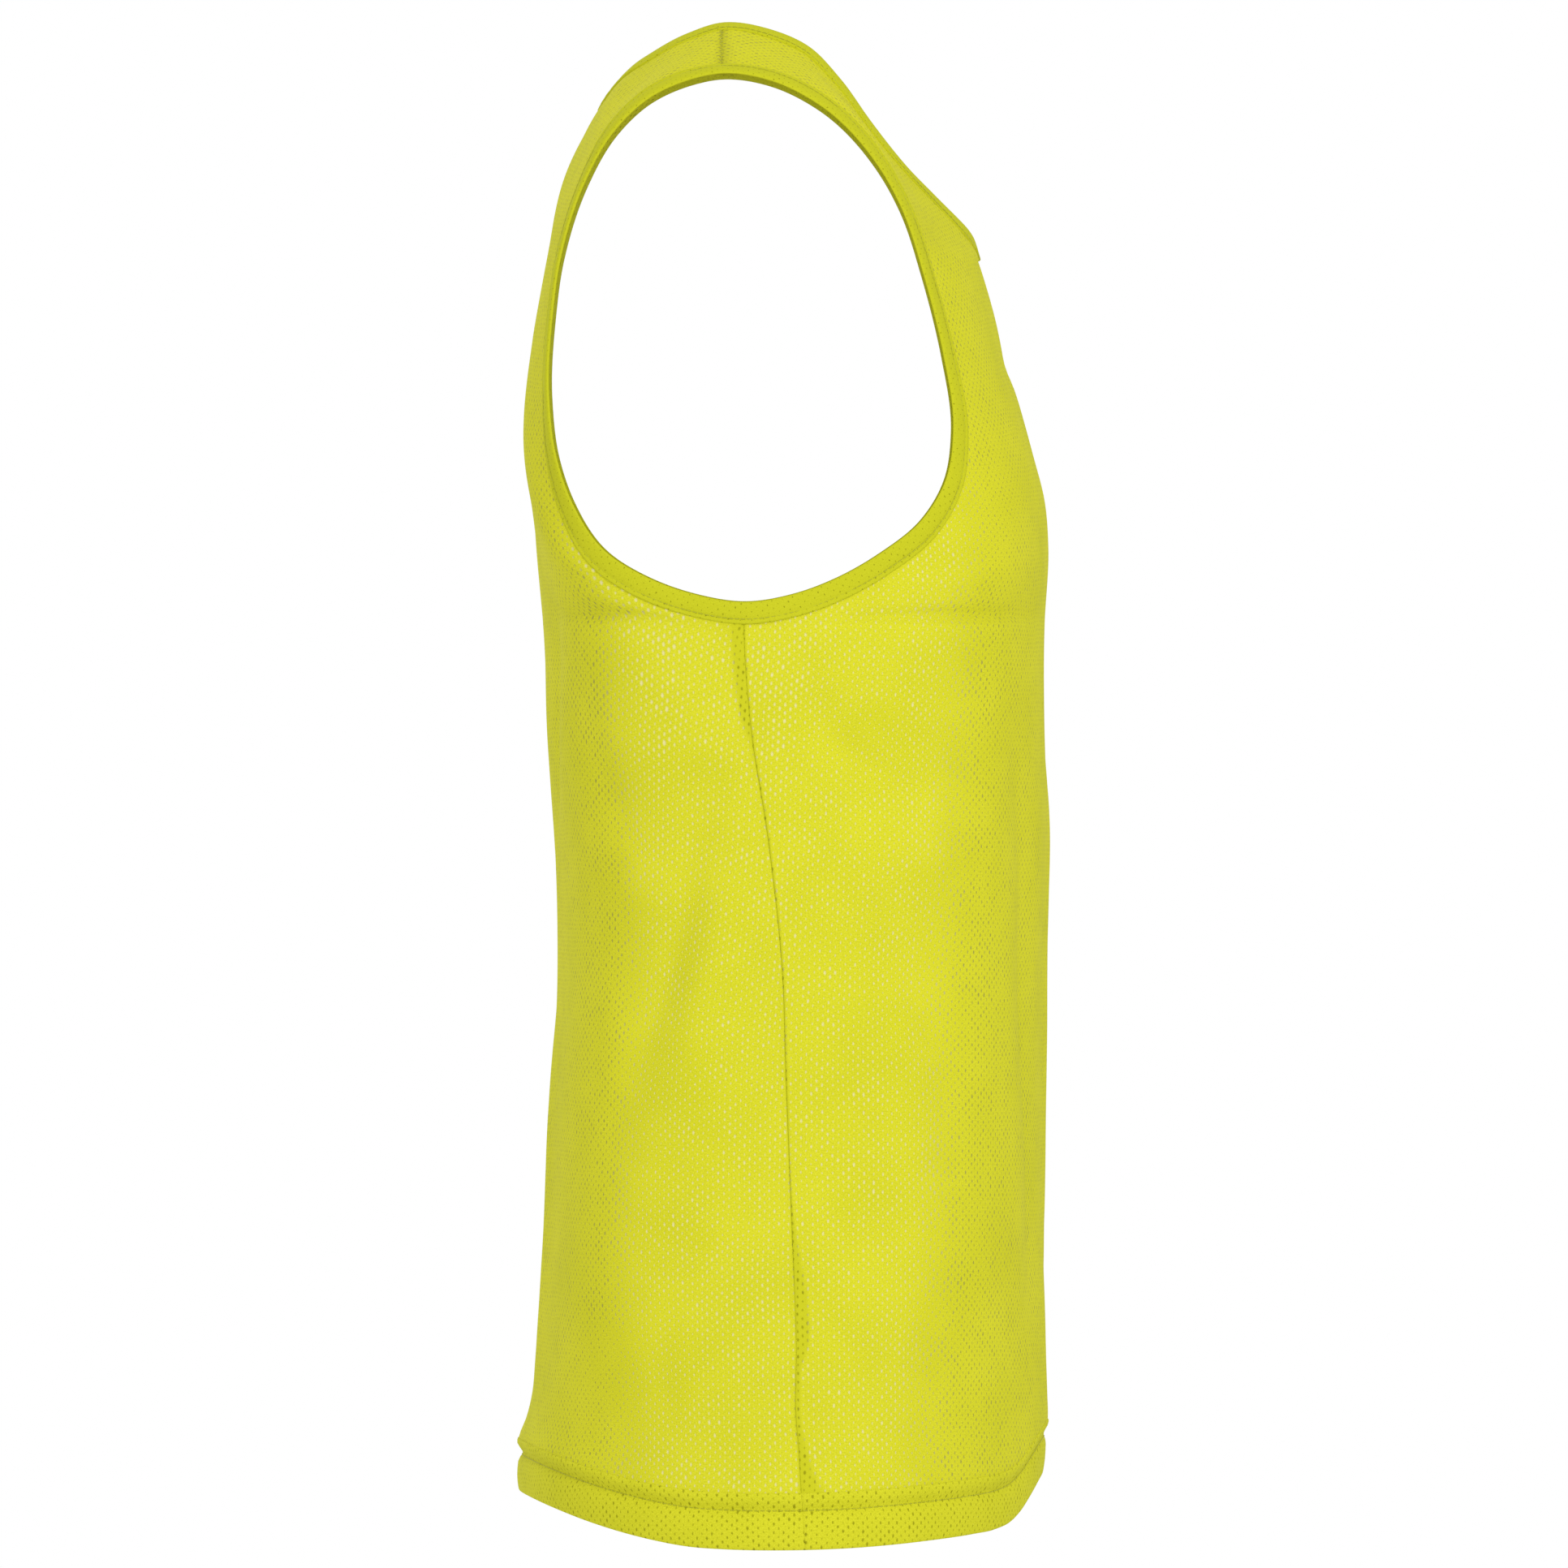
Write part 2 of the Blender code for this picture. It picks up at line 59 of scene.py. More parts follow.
# The body of the garment at each height: where the centre front, centre back and side seam lie,
# half the width across, and how square the front and back corners are (0 round, 1 boxy).
BODY_COLUMNS = ("z", "front_y", "back_y", "side_y", "half_width", "front_square", "back_square")
BODY = (
    (-700, -146, 93.5, -39, 196, 0.00, 0.25),
    (-657, -147.5, 93.5, -36, 194, 0.02, 0.30),
    (-640, -148.6, 92.4, -35, 193.5, 0.04, 0.32),
    (-629, -149.2, 89.8, -34, 193, 0.06, 0.35),
    (-594, -149.2, 85.6, -34, 191, 0.12, 0.50),
    (-540, -147.0, 80.2, -32, 189, 0.25, 0.60),
    (-463, -146.6, 77.6, -29, 187, 0.30, 0.55),
    (-430, -146.6, 76.0, -28, 186, 0.28, 0.50),
    (-362, -149.3, 77.8, -21, 185, 0.34, 0.55),
    (-310, -148.1, 80.8, -13, 184, 0.45, 0.60),
    (-265, -148.5, 82.6, -10, 185, 0.55, 0.60),
    (-228, -150.0, 85.4, -11, 183, 0.52, 0.50),
    (-209, -148.5, 86.6, -11, 181, 0.46, 0.45),
    (-187, -143.2, 87.5, -11, 178, 0.40, 0.40),
    (-160, -135.8, 86.2, -11, 174, 0.30, 0.33),
    (-142, -129.8, 83.5, -11, 172, 0.22, 0.30),
    (-123, -125.3, 80.5, -11, 168, 0.15, 0.25),
    (-97, -118.0, 75.5, -11, 165, 0.08, 0.18),
    (-67, -108.0, 68.5, -11, 160, 0.00, 0.10),
    (-30, -95.0, 57.5, -11, 155, 0.00, 0.00),
)

# The lower edge of the hem. Columns: y, z.
HEM = (
    (-150, -654),
    (-147.5, -656.7),
    (-142, -665.5),
    (-138.4, -671),
    (-133, -676.6),
    (-126, -679.8),
    (-116, -681.6),
    (-97, -683.9),
    (-60, -687),
    (-30, -688),
    (0, -687.6),
    (15, -686.6),
    (34, -683.3),
    (48, -679.9),
    (63, -675.4),
    (78, -670),
    (94, -663.8),
)
HEM_SIDE_ROW = 9

# The armhole edge from the side seam forward, over the shoulder and down the back. The facing is
# the compass direction of the cloth (0 front, 90 side, 180 back), and the lean how far it faces up.
# Columns: x, y, z, facing, lean.
ARMHOLE = (
    (185, -11, -254.4, 90, 2),
    (184, -33.7, -250.6, 84, 2),
    (182, -54.2, -242.7, 77, 3),
    (178.5, -72.9, -231.9, 69, 4),
    (170.5, -91.6, -216.9, 58, 6),
    (161.5, -102.8, -197.8, 47, 8),
    (153.5, -105.9, -175.4, 38, 10),
    (145.5, -101.7, -141.7, 29, 14),
    (141.5, -92.8, -104.3, 25, 20),
    (141, -82.4, -74, 26, 27),
    (142, -72.4, -56, 30, 33),
    (146, -44.9, -26.6, 48, 50),
    (149, -22.4, -15.2, 68, 62),
    (151, 0, -12, 90, 69),
    (150.5, 15, -15.2, 110, 64),
    (149.5, 33.7, -23.9, 138, 54),
    (149, 49.5, -38.6, 153, 44),
    (149, 63.4, -62, 167, 30),
    (150.5, 74.4, -97, 171, 16),
    (152, 77.8, -123, 171, 9),
    (154, 79.7, -160.4, 168, 3),
    (158, 76.7, -186.6, 158, -2),
    (164, 68.8, -209, 143, -3),
    (173, 54.2, -230.4, 122, -1),
    (181, 33.7, -243.4, 107, 0),
    (184, 13, -250.8, 97, 1),
)
ARMHOLE_SHOULDER = 13

# The neck edge on the wearer's left, centre front to centre back, with the armhole's columns.
NECK = (
    (0, -115, -88, 0, 18),
    (35, -111, -81.2, 6, 24),
    (54, -97, -67, 10, 32),
    (70, -82.3, -52, 15, 39),
    (78, -67.3, -33.3, 22, 45),
    (82.5, -53.9, -14.6, 30, 52),
    (84, -39.6, 0.4, 42, 59),
    (85, -22, 8.4, 62, 67),
    (85, 0, 11.4, 90, 72),
    (82.5, 16.5, 6, 120, 67),
    (72, 33.7, -3.7, 148, 56),
    (45, 45, -12.7, 166, 44),
    (0, 51.6, -20, 180, 34),
)
NECK_SHOULDER = 8

# How the hem's cloth stands out at each height above its edge. Columns: height, out.
HEM_RELIEF = (
    (0, 0.0),
    (9, 0.5),
    (15, 0.1),
    (18, -0.9),
    (22, 0.9),
    (26, 1.0),
    (34, 0.45),
    (48, 0.0),
    (60, 0.0),
)
ROLL_FRONT = 0.9
ROLL_BACK = 1.5

# Folds, each seen from one side: how far it stands out (minus for a trough), its half width, and
# its path. Across is y on the two sides and x on the front and back. The first ones are the large
# folds that the solids have too, and the others are the finer creases of the cloth.
# Columns: side, out, width, path of (across, z).
FOLDS = (
    ("right", -3.2, 15, ((75, -258), (60, -325), (41, -362), (22, -384))),
    ("right", -3.8, 15, ((8, -325), (15, -381), (24, -424), (36, -462), (53, -501), (72, -540))),
    ("right", 3.0, 15, ((-5, -365), (4, -410), (13, -440), (25, -478))),
    ("right", 2.2, 13, ((64, -400), (60, -440), (66, -500))),
    ("right", -2.8, 13, ((-34, -268), (-47, -312), (-64, -328), (-100, -350))),
    ("right", -2.6, 17, ((-74, -385), (-97, -448), (-109, -520))),
    ("left", -3.4, 16, ((66, -262), (52, -330), (30, -385), (16, -440))),
    ("left", 2.8, 15, ((-8, -350), (8, -420), (30, -480))),
    ("left", -3.2, 15, ((-40, -276), (-60, -325), (-92, -362))),
    ("left", -2.8, 17, ((-20, -470), (-62, -520), (-98, -575))),
    ("front", -3.4, 20, ((-118, -300), (-84, -390), (-66, -500), (-62, -600))),
    ("front", -3.0, 19, ((112, -290), (92, -380), (54, -470))),
    ("front", 2.6, 20, ((20, -330), (6, -430), (16, -560))),
    ("back", -3.4, 18, ((-116, -250), (-70, -330), (-20, -372))),
    ("back", -3.0, 18, ((110, -262), (66, -345), (30, -400), (34, -470))),
    ("back", 2.6, 20, ((-40, -440), (-52, -530), (-44, -620))),
)
CREASES = (
    ("right", -1.0, 5, ((76, -262), (66, -300), (58, -332), (44, -360), (30, -378))),
    ("right", 0.8, 6, ((66, -262), (54, -306), (46, -338))),
    ("right", -1.1, 6, ((10, -348), (17, -392), (26, -428), (40, -468), (56, -504))),
    ("right", 0.9, 7, ((-2, -372), (8, -424), (20, -464))),
    ("right", -0.9, 5, ((68, -410), (56, -446), (62, -492))),
    ("right", 0.7, 5, ((58, -414), (50, -452), (56, -500))),
    ("right", -0.8, 5, ((-24, -322), (-34, -330), (-46, -334))),
    ("right", -0.9, 6, ((-36, -276), (-48, -316), (-62, -326), (-96, -346))),
    ("right", 0.7, 7, ((-52, -300), (-72, -322), (-104, -338))),
    ("right", -0.7, 8, ((-70, -514), (-96, -517), (-124, -512))),
    ("right", -0.8, 8, ((4, -538), (34, -541), (64, -536))),
    ("right", -0.7, 7, ((-80, -400), (-100, -452), (-112, -508))),
    ("right", 0.6, 6, ((-64, -392), (-84, -446), (-96, -500))),
    ("right", -0.8, 5, ((-30, -600), (-38, -628), (-36, -656))),
    ("right", 0.7, 6, ((40, -590), (52, -624), (48, -652))),
    ("right", -0.7, 6, ((20, -560), (28, -600), (24, -640))),
    ("left", -1.0, 6, ((68, -266), (54, -330), (34, -384), (20, -430))),
    ("left", 0.8, 6, ((56, -270), (42, -332), (24, -376))),
    ("left", -0.9, 6, ((-42, -280), (-60, -322), (-88, -356))),
    ("left", -0.8, 7, ((-24, -474), (-60, -516), (-92, -566))),
    ("left", 0.7, 7, ((-10, -360), (6, -418), (26, -470))),
    ("left", -0.7, 8, ((10, -548), (40, -552), (70, -546))),
    ("left", -0.7, 6, ((-56, -590), (-66, -624), (-62, -654))),
    ("front", -1.1, 7, ((-114, -306), (-86, -388), (-70, -490), (-64, -580))),
    ("front", -1.0, 7, ((108, -296), (90, -378), (58, -462))),
    ("front", 0.8, 8, ((14, -340), (2, -430), (10, -540))),
    ("front", -0.8, 7, ((-60, -128), (-20, -146), (24, -148), (66, -124))),
    ("front", -0.9, 7, ((-104, -196), (-66, -226), (-22, -238))),
    ("front", -0.8, 8, ((40, -560), (58, -606), (52, -648))),
    ("front", 0.7, 7, ((-30, -570), (-22, -614), (-30, -650))),
    ("back", -1.1, 7, ((-112, -256), (-70, -328), (-26, -366))),
    ("back", -1.0, 7, ((106, -268), (66, -342), (34, -396), (34, -456))),
    ("back", 0.8, 8, ((-44, -450), (-52, -528), (-46, -604))),
    ("back", -0.8, 7, ((-70, -84), (-24, -66), (28, -68), (72, -90))),
    ("back", -0.8, 8, ((60, -540), (78, -592), (70, -646))),
    ("back", 0.7, 7, ((8, -500), (20, -560), (14, -628))),
)
SIDE_VIEWS = {
    "right": (np.array((-1.0, 0.0, 0.0)), 1),
    "left": (np.array((1.0, 0.0, 0.0)), 1),
    "front": (np.array((0.0, -1.0, 0.0)), 0),
    "back": (np.array((0.0, 1.0, 0.0)), 0),
}

# The side seam's allowance behind the cloth: at each height, how far it reaches from the seam
# towards the front. Minus is towards the back. Columns: z, towards the front, towards the back.
ALLOWANCE = (
    (-700, 9.0, 1.5),
    (-659, 8.0, 1.0),
    (-646, 4.5, 0.8),
    (-638, 3.0, 0.8),
    (-615, 2.2, 0.6),
    (-604, 2.4, 0.5),
    (-596, 5.2, 0.5),
    (-573, 5.6, 0.5),
    (-557, 3.4, 0.5),
    (-538, 1.2, 0.5),
    (-480, 0.8, 0.5),
    (-351, 0.8, 0.6),
    (-321, 0.7, 1.2),
    (-305, 0.7, 4.2),
    (-280, 0.8, 5.2),
    (-262, 0.8, 5.6),
)

# How far the knit is turned on the sides, in degrees: the foot of its columns leans forward.
# Columns: z, front panel, back panel.
LEAN = (
    (-700, 0, 0),
    (-620, 1, -1),
    (-540, 1, 2),
    (-490, 2, 3),
    (-440, 4, 8),
    (-330, 4, 10),
    (-250, 3, 10),
    (-150, 0, 5),
    (0, 0, 0),
)

# Where the cloth is stretched, so that its holes stand open, or slack, so that they close (minus).
# Columns: side, across, z, half width, half height, amount.
OPEN_SPOTS = (
    ("right", 30, -286, 36, 52, 0.55),
    ("right", -26, -296, 15, 30, 0.60),
    ("right", -58, -316, 18, 16, -0.45),
    ("right", -104, -262, 14, 40, 0.20),
    ("right", -128, -212, 16, 36, -0.60),
    ("right", 76, -586, 9, 14, 0.50),
    ("right", 50, -606, 26, 26, -0.70),
    ("right", 46, -648, 24, 8, 0.30),
    ("right", -6, -590, 34, 60, 0.12),
    ("right", -92, -508, 34, 18, 0.18),
    ("right", 20, -470, 22, 40, -0.25),
    ("right", -70, -430, 30, 50, -0.10),
    ("left", 26, -292, 30, 46, 0.50),
    ("left", -30, -300, 16, 34, 0.50),
    ("left", -96, -430, 34, 40, -0.30),
    ("left", 10, -600, 36, 40, 0.20),
    ("front", 0, -200, 90, 60, -0.30),
    ("front", 60, -430, 50, 90, 0.25),
    ("front", -70, -560, 50, 60, 0.20),
    ("back", -30, -170, 90, 70, -0.25),
    ("back", 40, -470, 60, 90, 0.25),
)

# How finely the cloth is divided.
LOW_ROWS = 118
ARMHOLE_ROWS = 46
STRAP_ROWS = 34
HALF_COLUMNS = 78
SEAM_STEPS = (8.0, 6.5, 5.0, 3.8, 2.8, 2.0, 1.3, 0.7, 0.3, 0.0)
SAMPLES = 420
BAND_STEP = 2.4
LEVEL_SHARE = 0.3
SETTLE_STEPS = 900
LEAST_AREA = 0.02

# Least angle that a corner is worked out with, widest squareness, how much of it the rows beside
# the armhole keep, and how far from the centre line a row leaves level.
LEAST_TURN = 0.02
MOST_SQUARE = 0.9
ARMHOLE_SQUARE = 0.8
LEVEL_WIDTH = 40.0
FADE = 0.7
SAME_POINT = 0.02

# The section across a bound edge: distance in from the fold and height off the cloth. The cloth is
# folded round the edge and pulled in by its row of stitches.
BAND_SECTION = (
    (10.2, 0.10),
    (10.0, 0.62),
    (9.2, 0.70),
    (8.4, 0.38),
    (7.9, 0.34),
    (7.2, 0.66),
    (5.6, 0.86),
    (3.6, 0.90),
    (1.8, 0.84),
    (0.7, 0.62),
    (0.15, 0.24),
    (0.0, -0.15),
    (0.25, -0.60),
    (1.0, -0.92),
    (3.0, -1.10),
    (6.0, -1.10),
    (7.9, -0.86),
    (9.0, -1.05),
    (10.0, -1.02),
    (10.2, -0.60),
)
BAND_STITCH = 7.9
BAND_CLOSING = 0.7

# The section across the hem: height above its lower fold and distance off the cloth.
HEM_SECTION = (
    (26.2, -0.40),
    (26.0, 0.30),
    (25.0, 0.46),
    (23.4, 0.42),
    (21.5, 0.34),
    (19.6, 0.18),
    (18.4, -0.02),
    (17.8, -0.04),
    (16.8, 0.14),
    (14.5, 0.26),
    (11.0, 0.30),
    (7.5, 0.30),
    (4.5, 0.26),
    (2.2, 0.18),
    (0.8, 0.02),
    (0.15, -0.32),
    (0.0, -0.72),
    (0.3, -1.18),
    (1.2, -1.46),
    (4.0, -1.60),
    (9.0, -1.62),
    (15.0, -1.56),
    (18.0, -1.34),
    (21.0, -1.62),
    (24.5, -1.66),
    (26.0, -1.55),
    (26.2, -1.10),
)
HEM_STITCH = 18.1

# Panels under the bands and in the hem: distances of the hidden rows, heights of the rows in the
# hem, where the cloth comes out of it and over what height, and how far in it lies there.
UNDER_BAND = (0.0, 2.5, 5.0, 7.2)
IN_HEM = (17.0, 19.0, 21.5, 24.0)
HEM_TOP = 26.0
TUCK_HEIGHT = 3.0
TUCK_DEPTH = 0.75
HEM_LEVELS = 28

# The studio: the middle of the bib, the floor, and each light's place from that middle, its share
# of the key light's power and its width.
MIDDLE = (0.0, -0.0284, -0.3385)
FLOOR_Z = -1.42
FLOOR_RADIUS = 12.0
LIGHTS = (
    ("key_light", (-3.0, -0.7, 1.2), 1.0),
    ("rear_light", (2.6, 1.6, 1.0), 0.35),
)
LIGHT_WIDTH = 2.4
SENSOR_WIDTH = 36.0
# Height of the picture at the bib, in metres.
PICTURE = 0.7226

# Flat cuts of the cloth that shows, in metres: width, length and, for a shaped cut, its area.
FRONT_CUT = (0.551, 0.737, 0.283)
BACK_CUT = (0.533, 0.711, 0.287)
FRONT_HEM_CUT = (0.490, 0.0275)
BACK_HEM_CUT = (0.532, 0.0275)
ARMHOLE_CUT = (0.0115, 0.691)
NECK_CUT = (0.0115, 0.635)


class BibSizes(bpy.types.PropertyGroup):
    """Sizes of the cloth and its sewing."""

    cloth: bpy.props.FloatProperty(
        name="Cloth", description="Thickness of one layer of mesh", default=0.0006, unit="LENGTH"
    )
    band: bpy.props.FloatProperty(
        name="Band", description="Width of the bound edges", default=0.010, unit="LENGTH"
    )
    column_pitch: bpy.props.FloatProperty(
        name="Column pitch",
        description="Distance between neighbouring columns of holes",
        default=0.00235,
        unit="LENGTH",
    )
    hole_pitch: bpy.props.FloatProperty(
        name="Hole pitch",
        description="Distance between the holes of one column",
        default=0.0039,
        unit="LENGTH",
    )
    hole_width: bpy.props.FloatProperty(
        name="Hole width", description="Width of a hole", default=0.00085, unit="LENGTH"
    )
    hole_height: bpy.props.FloatProperty(
        name="Hole height", description="Height of a hole", default=0.0014, unit="LENGTH"
    )
    stitch: bpy.props.FloatProperty(
        name="Stitch", description="Length of one stitch of a seam", default=0.0028, unit="LENGTH"
    )
    thread: bpy.props.FloatProperty(
        name="Thread", description="Thickness of the sewing thread", default=0.00032, unit="LENGTH"
    )


class BibColours(bpy.types.PropertyGroup):
    """Colours of the cloth and its sewing, as sRGB hex values."""

    cloth: bpy.props.StringProperty(
        name="Cloth", description="Neon yellow of the mesh", default="#DFDD30"
    )
    # Painted shade: the darker cloth between the yarn loops, and mesh that lies double over the seam
    # allowance and lets no light through.
    shade: bpy.props.StringProperty(
        name="Shade", description="Cloth between the yarns", default="#CBCB22"
    )
    hole: bpy.props.StringProperty(
        name="Hole", description="Light that comes through single cloth", default="#F8EFA6"
    )
    # Painted shade: cloth folded tight or lying double, through which no light comes.
    doubled_cloth_shade: bpy.props.StringProperty(
        name="Deep", description="Cloth folded tight, which lets no light through", default="#BDC01E"
    )
    # Painted shade: holes over a second layer, and over the shaded inside of the garment, show the
    # layer behind in shade.
    doubled: bpy.props.StringProperty(
        name="Doubled hole", description="Holes over a second layer", default="#9A9812"
    )
    thread: bpy.props.StringProperty(
        name="Thread", description="Sewing thread", default="#B9BA26"
    )
    floor: bpy.props.StringProperty(name="Floor", description="Studio floor", default="#EDEDED")


class BibStage(bpy.types.PropertyGroup):
    """The studio: camera and light."""

    lens: bpy.props.FloatProperty(
        name="Lens", description="Focal length in millimetres", default=1200.0
    )
    tilt: bpy.props.FloatProperty(
        name="Tilt",
        description="Height of the camera over the level",
        default=math.radians(0.25),
        subtype="ANGLE",
    )
    key: bpy.props.FloatProperty(
        name="Key light", description="Power of the large soft light", default=36.0
    )
    fill: bpy.props.FloatProperty(
        name="Fill light", description="Strength of the white room", default=0.80
    )


def smooth(knots, values, at):
    """Cubic pieces through the values, each knot sloped like the parabola through its neighbours."""
    knots = np.asarray(knots, float)
    values = np.asarray(values, float)
    step = np.diff(knots)
    rise = np.diff(values, axis=0) / step[:, None]
    slope = np.empty_like(values)
    slope[0], slope[-1] = rise[0], rise[-1]
    before, after = step[:-1, None], step[1:, None]
    slope[1:-1] = (after * rise[:-1] + before * rise[1:]) / (before + after)
    at = np.clip(np.asarray(at, float), knots[0], knots[-1])
    piece = np.clip(np.searchsorted(knots, at, side="right") - 1, 0, len(step) - 1)
    width = step[piece][:, None]
    part = ((at - knots[piece])[:, None]) / width
    return (
        (2 * part**3 - 3 * part**2 + 1) * values[piece]
        + (part**3 - 2 * part**2 + part) * width * slope[piece]
        + (3 * part**2 - 2 * part**3) * values[piece + 1]
        + (part**3 - part**2) * width * slope[piece + 1]
    )


def unit(vectors):
    """The vectors at length one."""
    return vectors / np.linalg.norm(vectors, axis=-1, keepdims=True)


def body(z, *names):
    """Columns of the body table at the heights z, in millimetres where they are lengths."""
    table = np.array(BODY, float)
    picked = [BODY_COLUMNS.index(name) for name in names]
    return smooth(table[:, 0], table[:, picked], np.asarray(z) / MM).T


def hem_z(y):
    """Height of the hem's lower edge where the cloth lies at y."""
    table = np.array(HEM, float)
    return smooth(table[:, 0], table[:, 1:], np.ravel(y) / MM)[:, 0].reshape(np.shape(y)) * MM


class Edge:
    """A bound edge: a smooth curve through its table that knows which way its cloth faces."""

    def __init__(self, rows, closed):
        table = np.array(rows, float)
        if closed:
            table = np.vstack((table[-1:], table, table[:2]))
        else:
            flip = np.array((-1, 1, 1, -1, 1), float)
            first, last = table[1] * flip, table[-2] * flip
            last[3] += 360
            table = np.vstack((first, table, last))
        chord = np.linalg.norm(np.diff(table[:, :3], axis=0), axis=1)
        knots = np.concatenate(((0,), np.cumsum(chord)))
        self.knots = knots - knots[1]
        self.table = table
        self.inward = 1 if closed else -1

    def place(self, row):
        """Distance along the edge to a row of its table."""
        return self.knots[row + 1]

    def frame(self, along):
        """Points, outward normals and directions into the cloth, at distances along the edge."""
        along = np.asarray(along, float)
        found = smooth(self.knots, self.table, along)
        ahead = smooth(self.knots, self.table[:, :3], along + 1)
        behind = smooth(self.knots, self.table[:, :3], along - 1)
        tangent = unit(ahead - behind)
        facing, lean = np.radians(found[:, 3]), np.radians(found[:, 4])
        normal = np.stack(
            (np.sin(facing) * np.cos(lean), -np.cos(facing) * np.cos(lean), np.sin(lean)), axis=1
        )
        normal = unit(normal - np.sum(normal * tangent, axis=1, keepdims=True) * tangent)
        return found[:, :3] * MM, normal, self.inward * np.cross(normal, tangent)


def folds(points, normals, table):
    """How far a table of folds moves each point along its normal. A fold is a bell across its path
    that fades out at both ends and where the cloth turns away from the side that it is on."""
    out = np.zeros(points.shape[:-1])
    for side, depth, width, path in table:
        view, axis = SIDE_VIEWS[side]
        seen = np.stack((points[..., axis], points[..., 2]), axis=-1) / MM
        path = np.array(path, float)
        length = np.concatenate(((0,), np.cumsum(np.linalg.norm(np.diff(path, axis=0), axis=1))))
        nearest = np.full(out.shape, np.inf)
        along = np.zeros(out.shape)
        for start, end, begun, total in zip(path[:-1], path[1:], length[:-1], np.diff(length)):
            part = np.clip(np.sum((seen - start) * (end - start), axis=-1) / total**2, 0, 1)
            away = np.linalg.norm(seen - start - part[..., None] * (end - start), axis=-1)
            along = np.where(away < nearest, begun + part * total, along)
            nearest = np.minimum(nearest, away)
        share = along / length[-1]
        facing = np.clip(np.sum(normals * view, axis=-1), 0, 1)
        out += depth * facing * np.sin(np.pi * share) ** FADE * np.exp(-((nearest / width) ** 2))
    return out * MM


def ripple(points):
    """Slight waves of limp cloth: sines of uneven lengths and directions, under half a millimetre
    high, that never repeat over the garment."""
    x, y, z = (points[..., axis] / MM for axis in range(3))
    waves = (
        0.22 * np.sin(z / 17.0 + 1.3 * np.sin(x / 41.0) + y / 33.0)
        + 0.18 * np.sin(x / 13.0 + z / 47.0 + 1.1 * np.sin(y / 29.0 + z / 61.0))
        + 0.16 * np.sin(y / 11.0 - z / 37.0 + 0.9 * np.sin(z / 23.0))
    )
    return waves * MM


def relief(height, y):
    """How far the hem's pinch and roll stand out, at a height above the edge."""
    table = np.array(HEM_RELIEF, float)
    out = smooth(table[:, 0], table[:, 1:], np.ravel(height) / MM)[:, 0].reshape(np.shape(height))
    front, back = HEM[0][0] * MM, HEM[-1][0] * MM
    share = np.clip((y - front) / (back - front), 0, 1)
    return out * (ROLL_FRONT + (ROLL_BACK - ROLL_FRONT) * share) * MM


def sweep(inner, inner_way, outer, outer_normal, square):
    """A row from each inner point to its outer point: a cubic curve that leaves along inner_way and
    lands flat on the cloth there, with its corner drawn out by the squareness."""
    chord = outer - inner
    length = np.linalg.norm(chord, axis=1, keepdims=True)
    outer_way = unit(chord - np.sum(chord * outer_normal, axis=1, keepdims=True) * outer_normal)
    turn_in = np.arccos(np.clip(np.sum(chord * inner_way, axis=1, keepdims=True) / length, -1, 1))
    turn_out = np.arccos(np.clip(np.sum(chord * outer_way, axis=1, keepdims=True) / length, -1, 1))
    turn = turn_in + turn_out + LEAST_TURN
    reach_in = length * (np.sin(turn_out) + LEAST_TURN) / (np.sin(turn) + 2 * LEAST_TURN)
    reach_out = length * (np.sin(turn_in) + LEAST_TURN) / (np.sin(turn) + 2 * LEAST_TURN)
    round_share = 4 / 3 * np.tan(turn / 4) / np.tan(turn / 2)
    share = round_share + (1 - round_share) * square[:, None]
    first = inner + share * reach_in * inner_way
    second = outer - share * reach_out * outer_way
    t = np.linspace(0, 1, SAMPLES)[None, :, None]
    return (
        (1 - t) ** 3 * inner[:, None]
        + 3 * (1 - t) ** 2 * t * first[:, None]
        + 3 * (1 - t) * t**2 * second[:, None]
        + t**3 * outer[:, None]
    )


def spread(rows, columns):
    """Each row again with its points at even steps, closer together beside the seam."""
    step = np.linalg.norm(np.diff(rows, axis=1), axis=2)
    along = np.concatenate((np.zeros((len(rows), 1)), np.cumsum(step, axis=1)), axis=1)
    near = np.array(SEAM_STEPS) * MM
    spread_rows = []
    for far, row in zip(along, rows):
        even = np.linspace(0, far[-1] - near[0], columns - len(near) + 1)
        stops = np.concatenate((even[:-1], far[-1] - near))
        spread_rows.append(
            np.stack([np.interp(stops, far, row[:, axis]) for axis in range(3)], axis=1)
        )
    return np.stack(spread_rows)


def grid_normals(grid, sign, seam_rows):
    """Outward normals of a grid whose rows climb and whose columns run outward. Upward is from the
    row below to the row above, both read as far along as the point itself, since the rows beside
    the armhole grow shorter as they climb."""
    across = np.gradient(grid, axis=1)
    step = np.linalg.norm(np.diff(grid, axis=1), axis=2)
    far = np.concatenate((np.zeros((len(grid), 1)), np.cumsum(step, axis=1)), axis=1)
    upward = np.empty_like(grid)
    last = len(grid) - 1
    for row in range(len(grid)):
        below, above = max(row - 1, 0), min(row + 1, last)
        past_low = far[row] > far[below, -1]
        past_high = far[row] > far[above, -1]
        for axis in range(3):
            own = grid[row, :, axis]
            low = np.interp(far[row], far[below], grid[below, :, axis])
            high = np.interp(far[row], far[above], grid[above, :, axis])
            low = np.where(past_low & ~past_high & (row < last), own, low)
            high = np.where(past_high & ~past_low & (row > 0), own, high)
            upward[row, :, axis] = high - low
    normals = np.cross(across, upward) * sign
    normals[np.abs(grid[..., 0]) < SAME_POINT * MM, 0] = 0
    normals[:seam_rows, -1, 1] = 0
    return unit(normals)


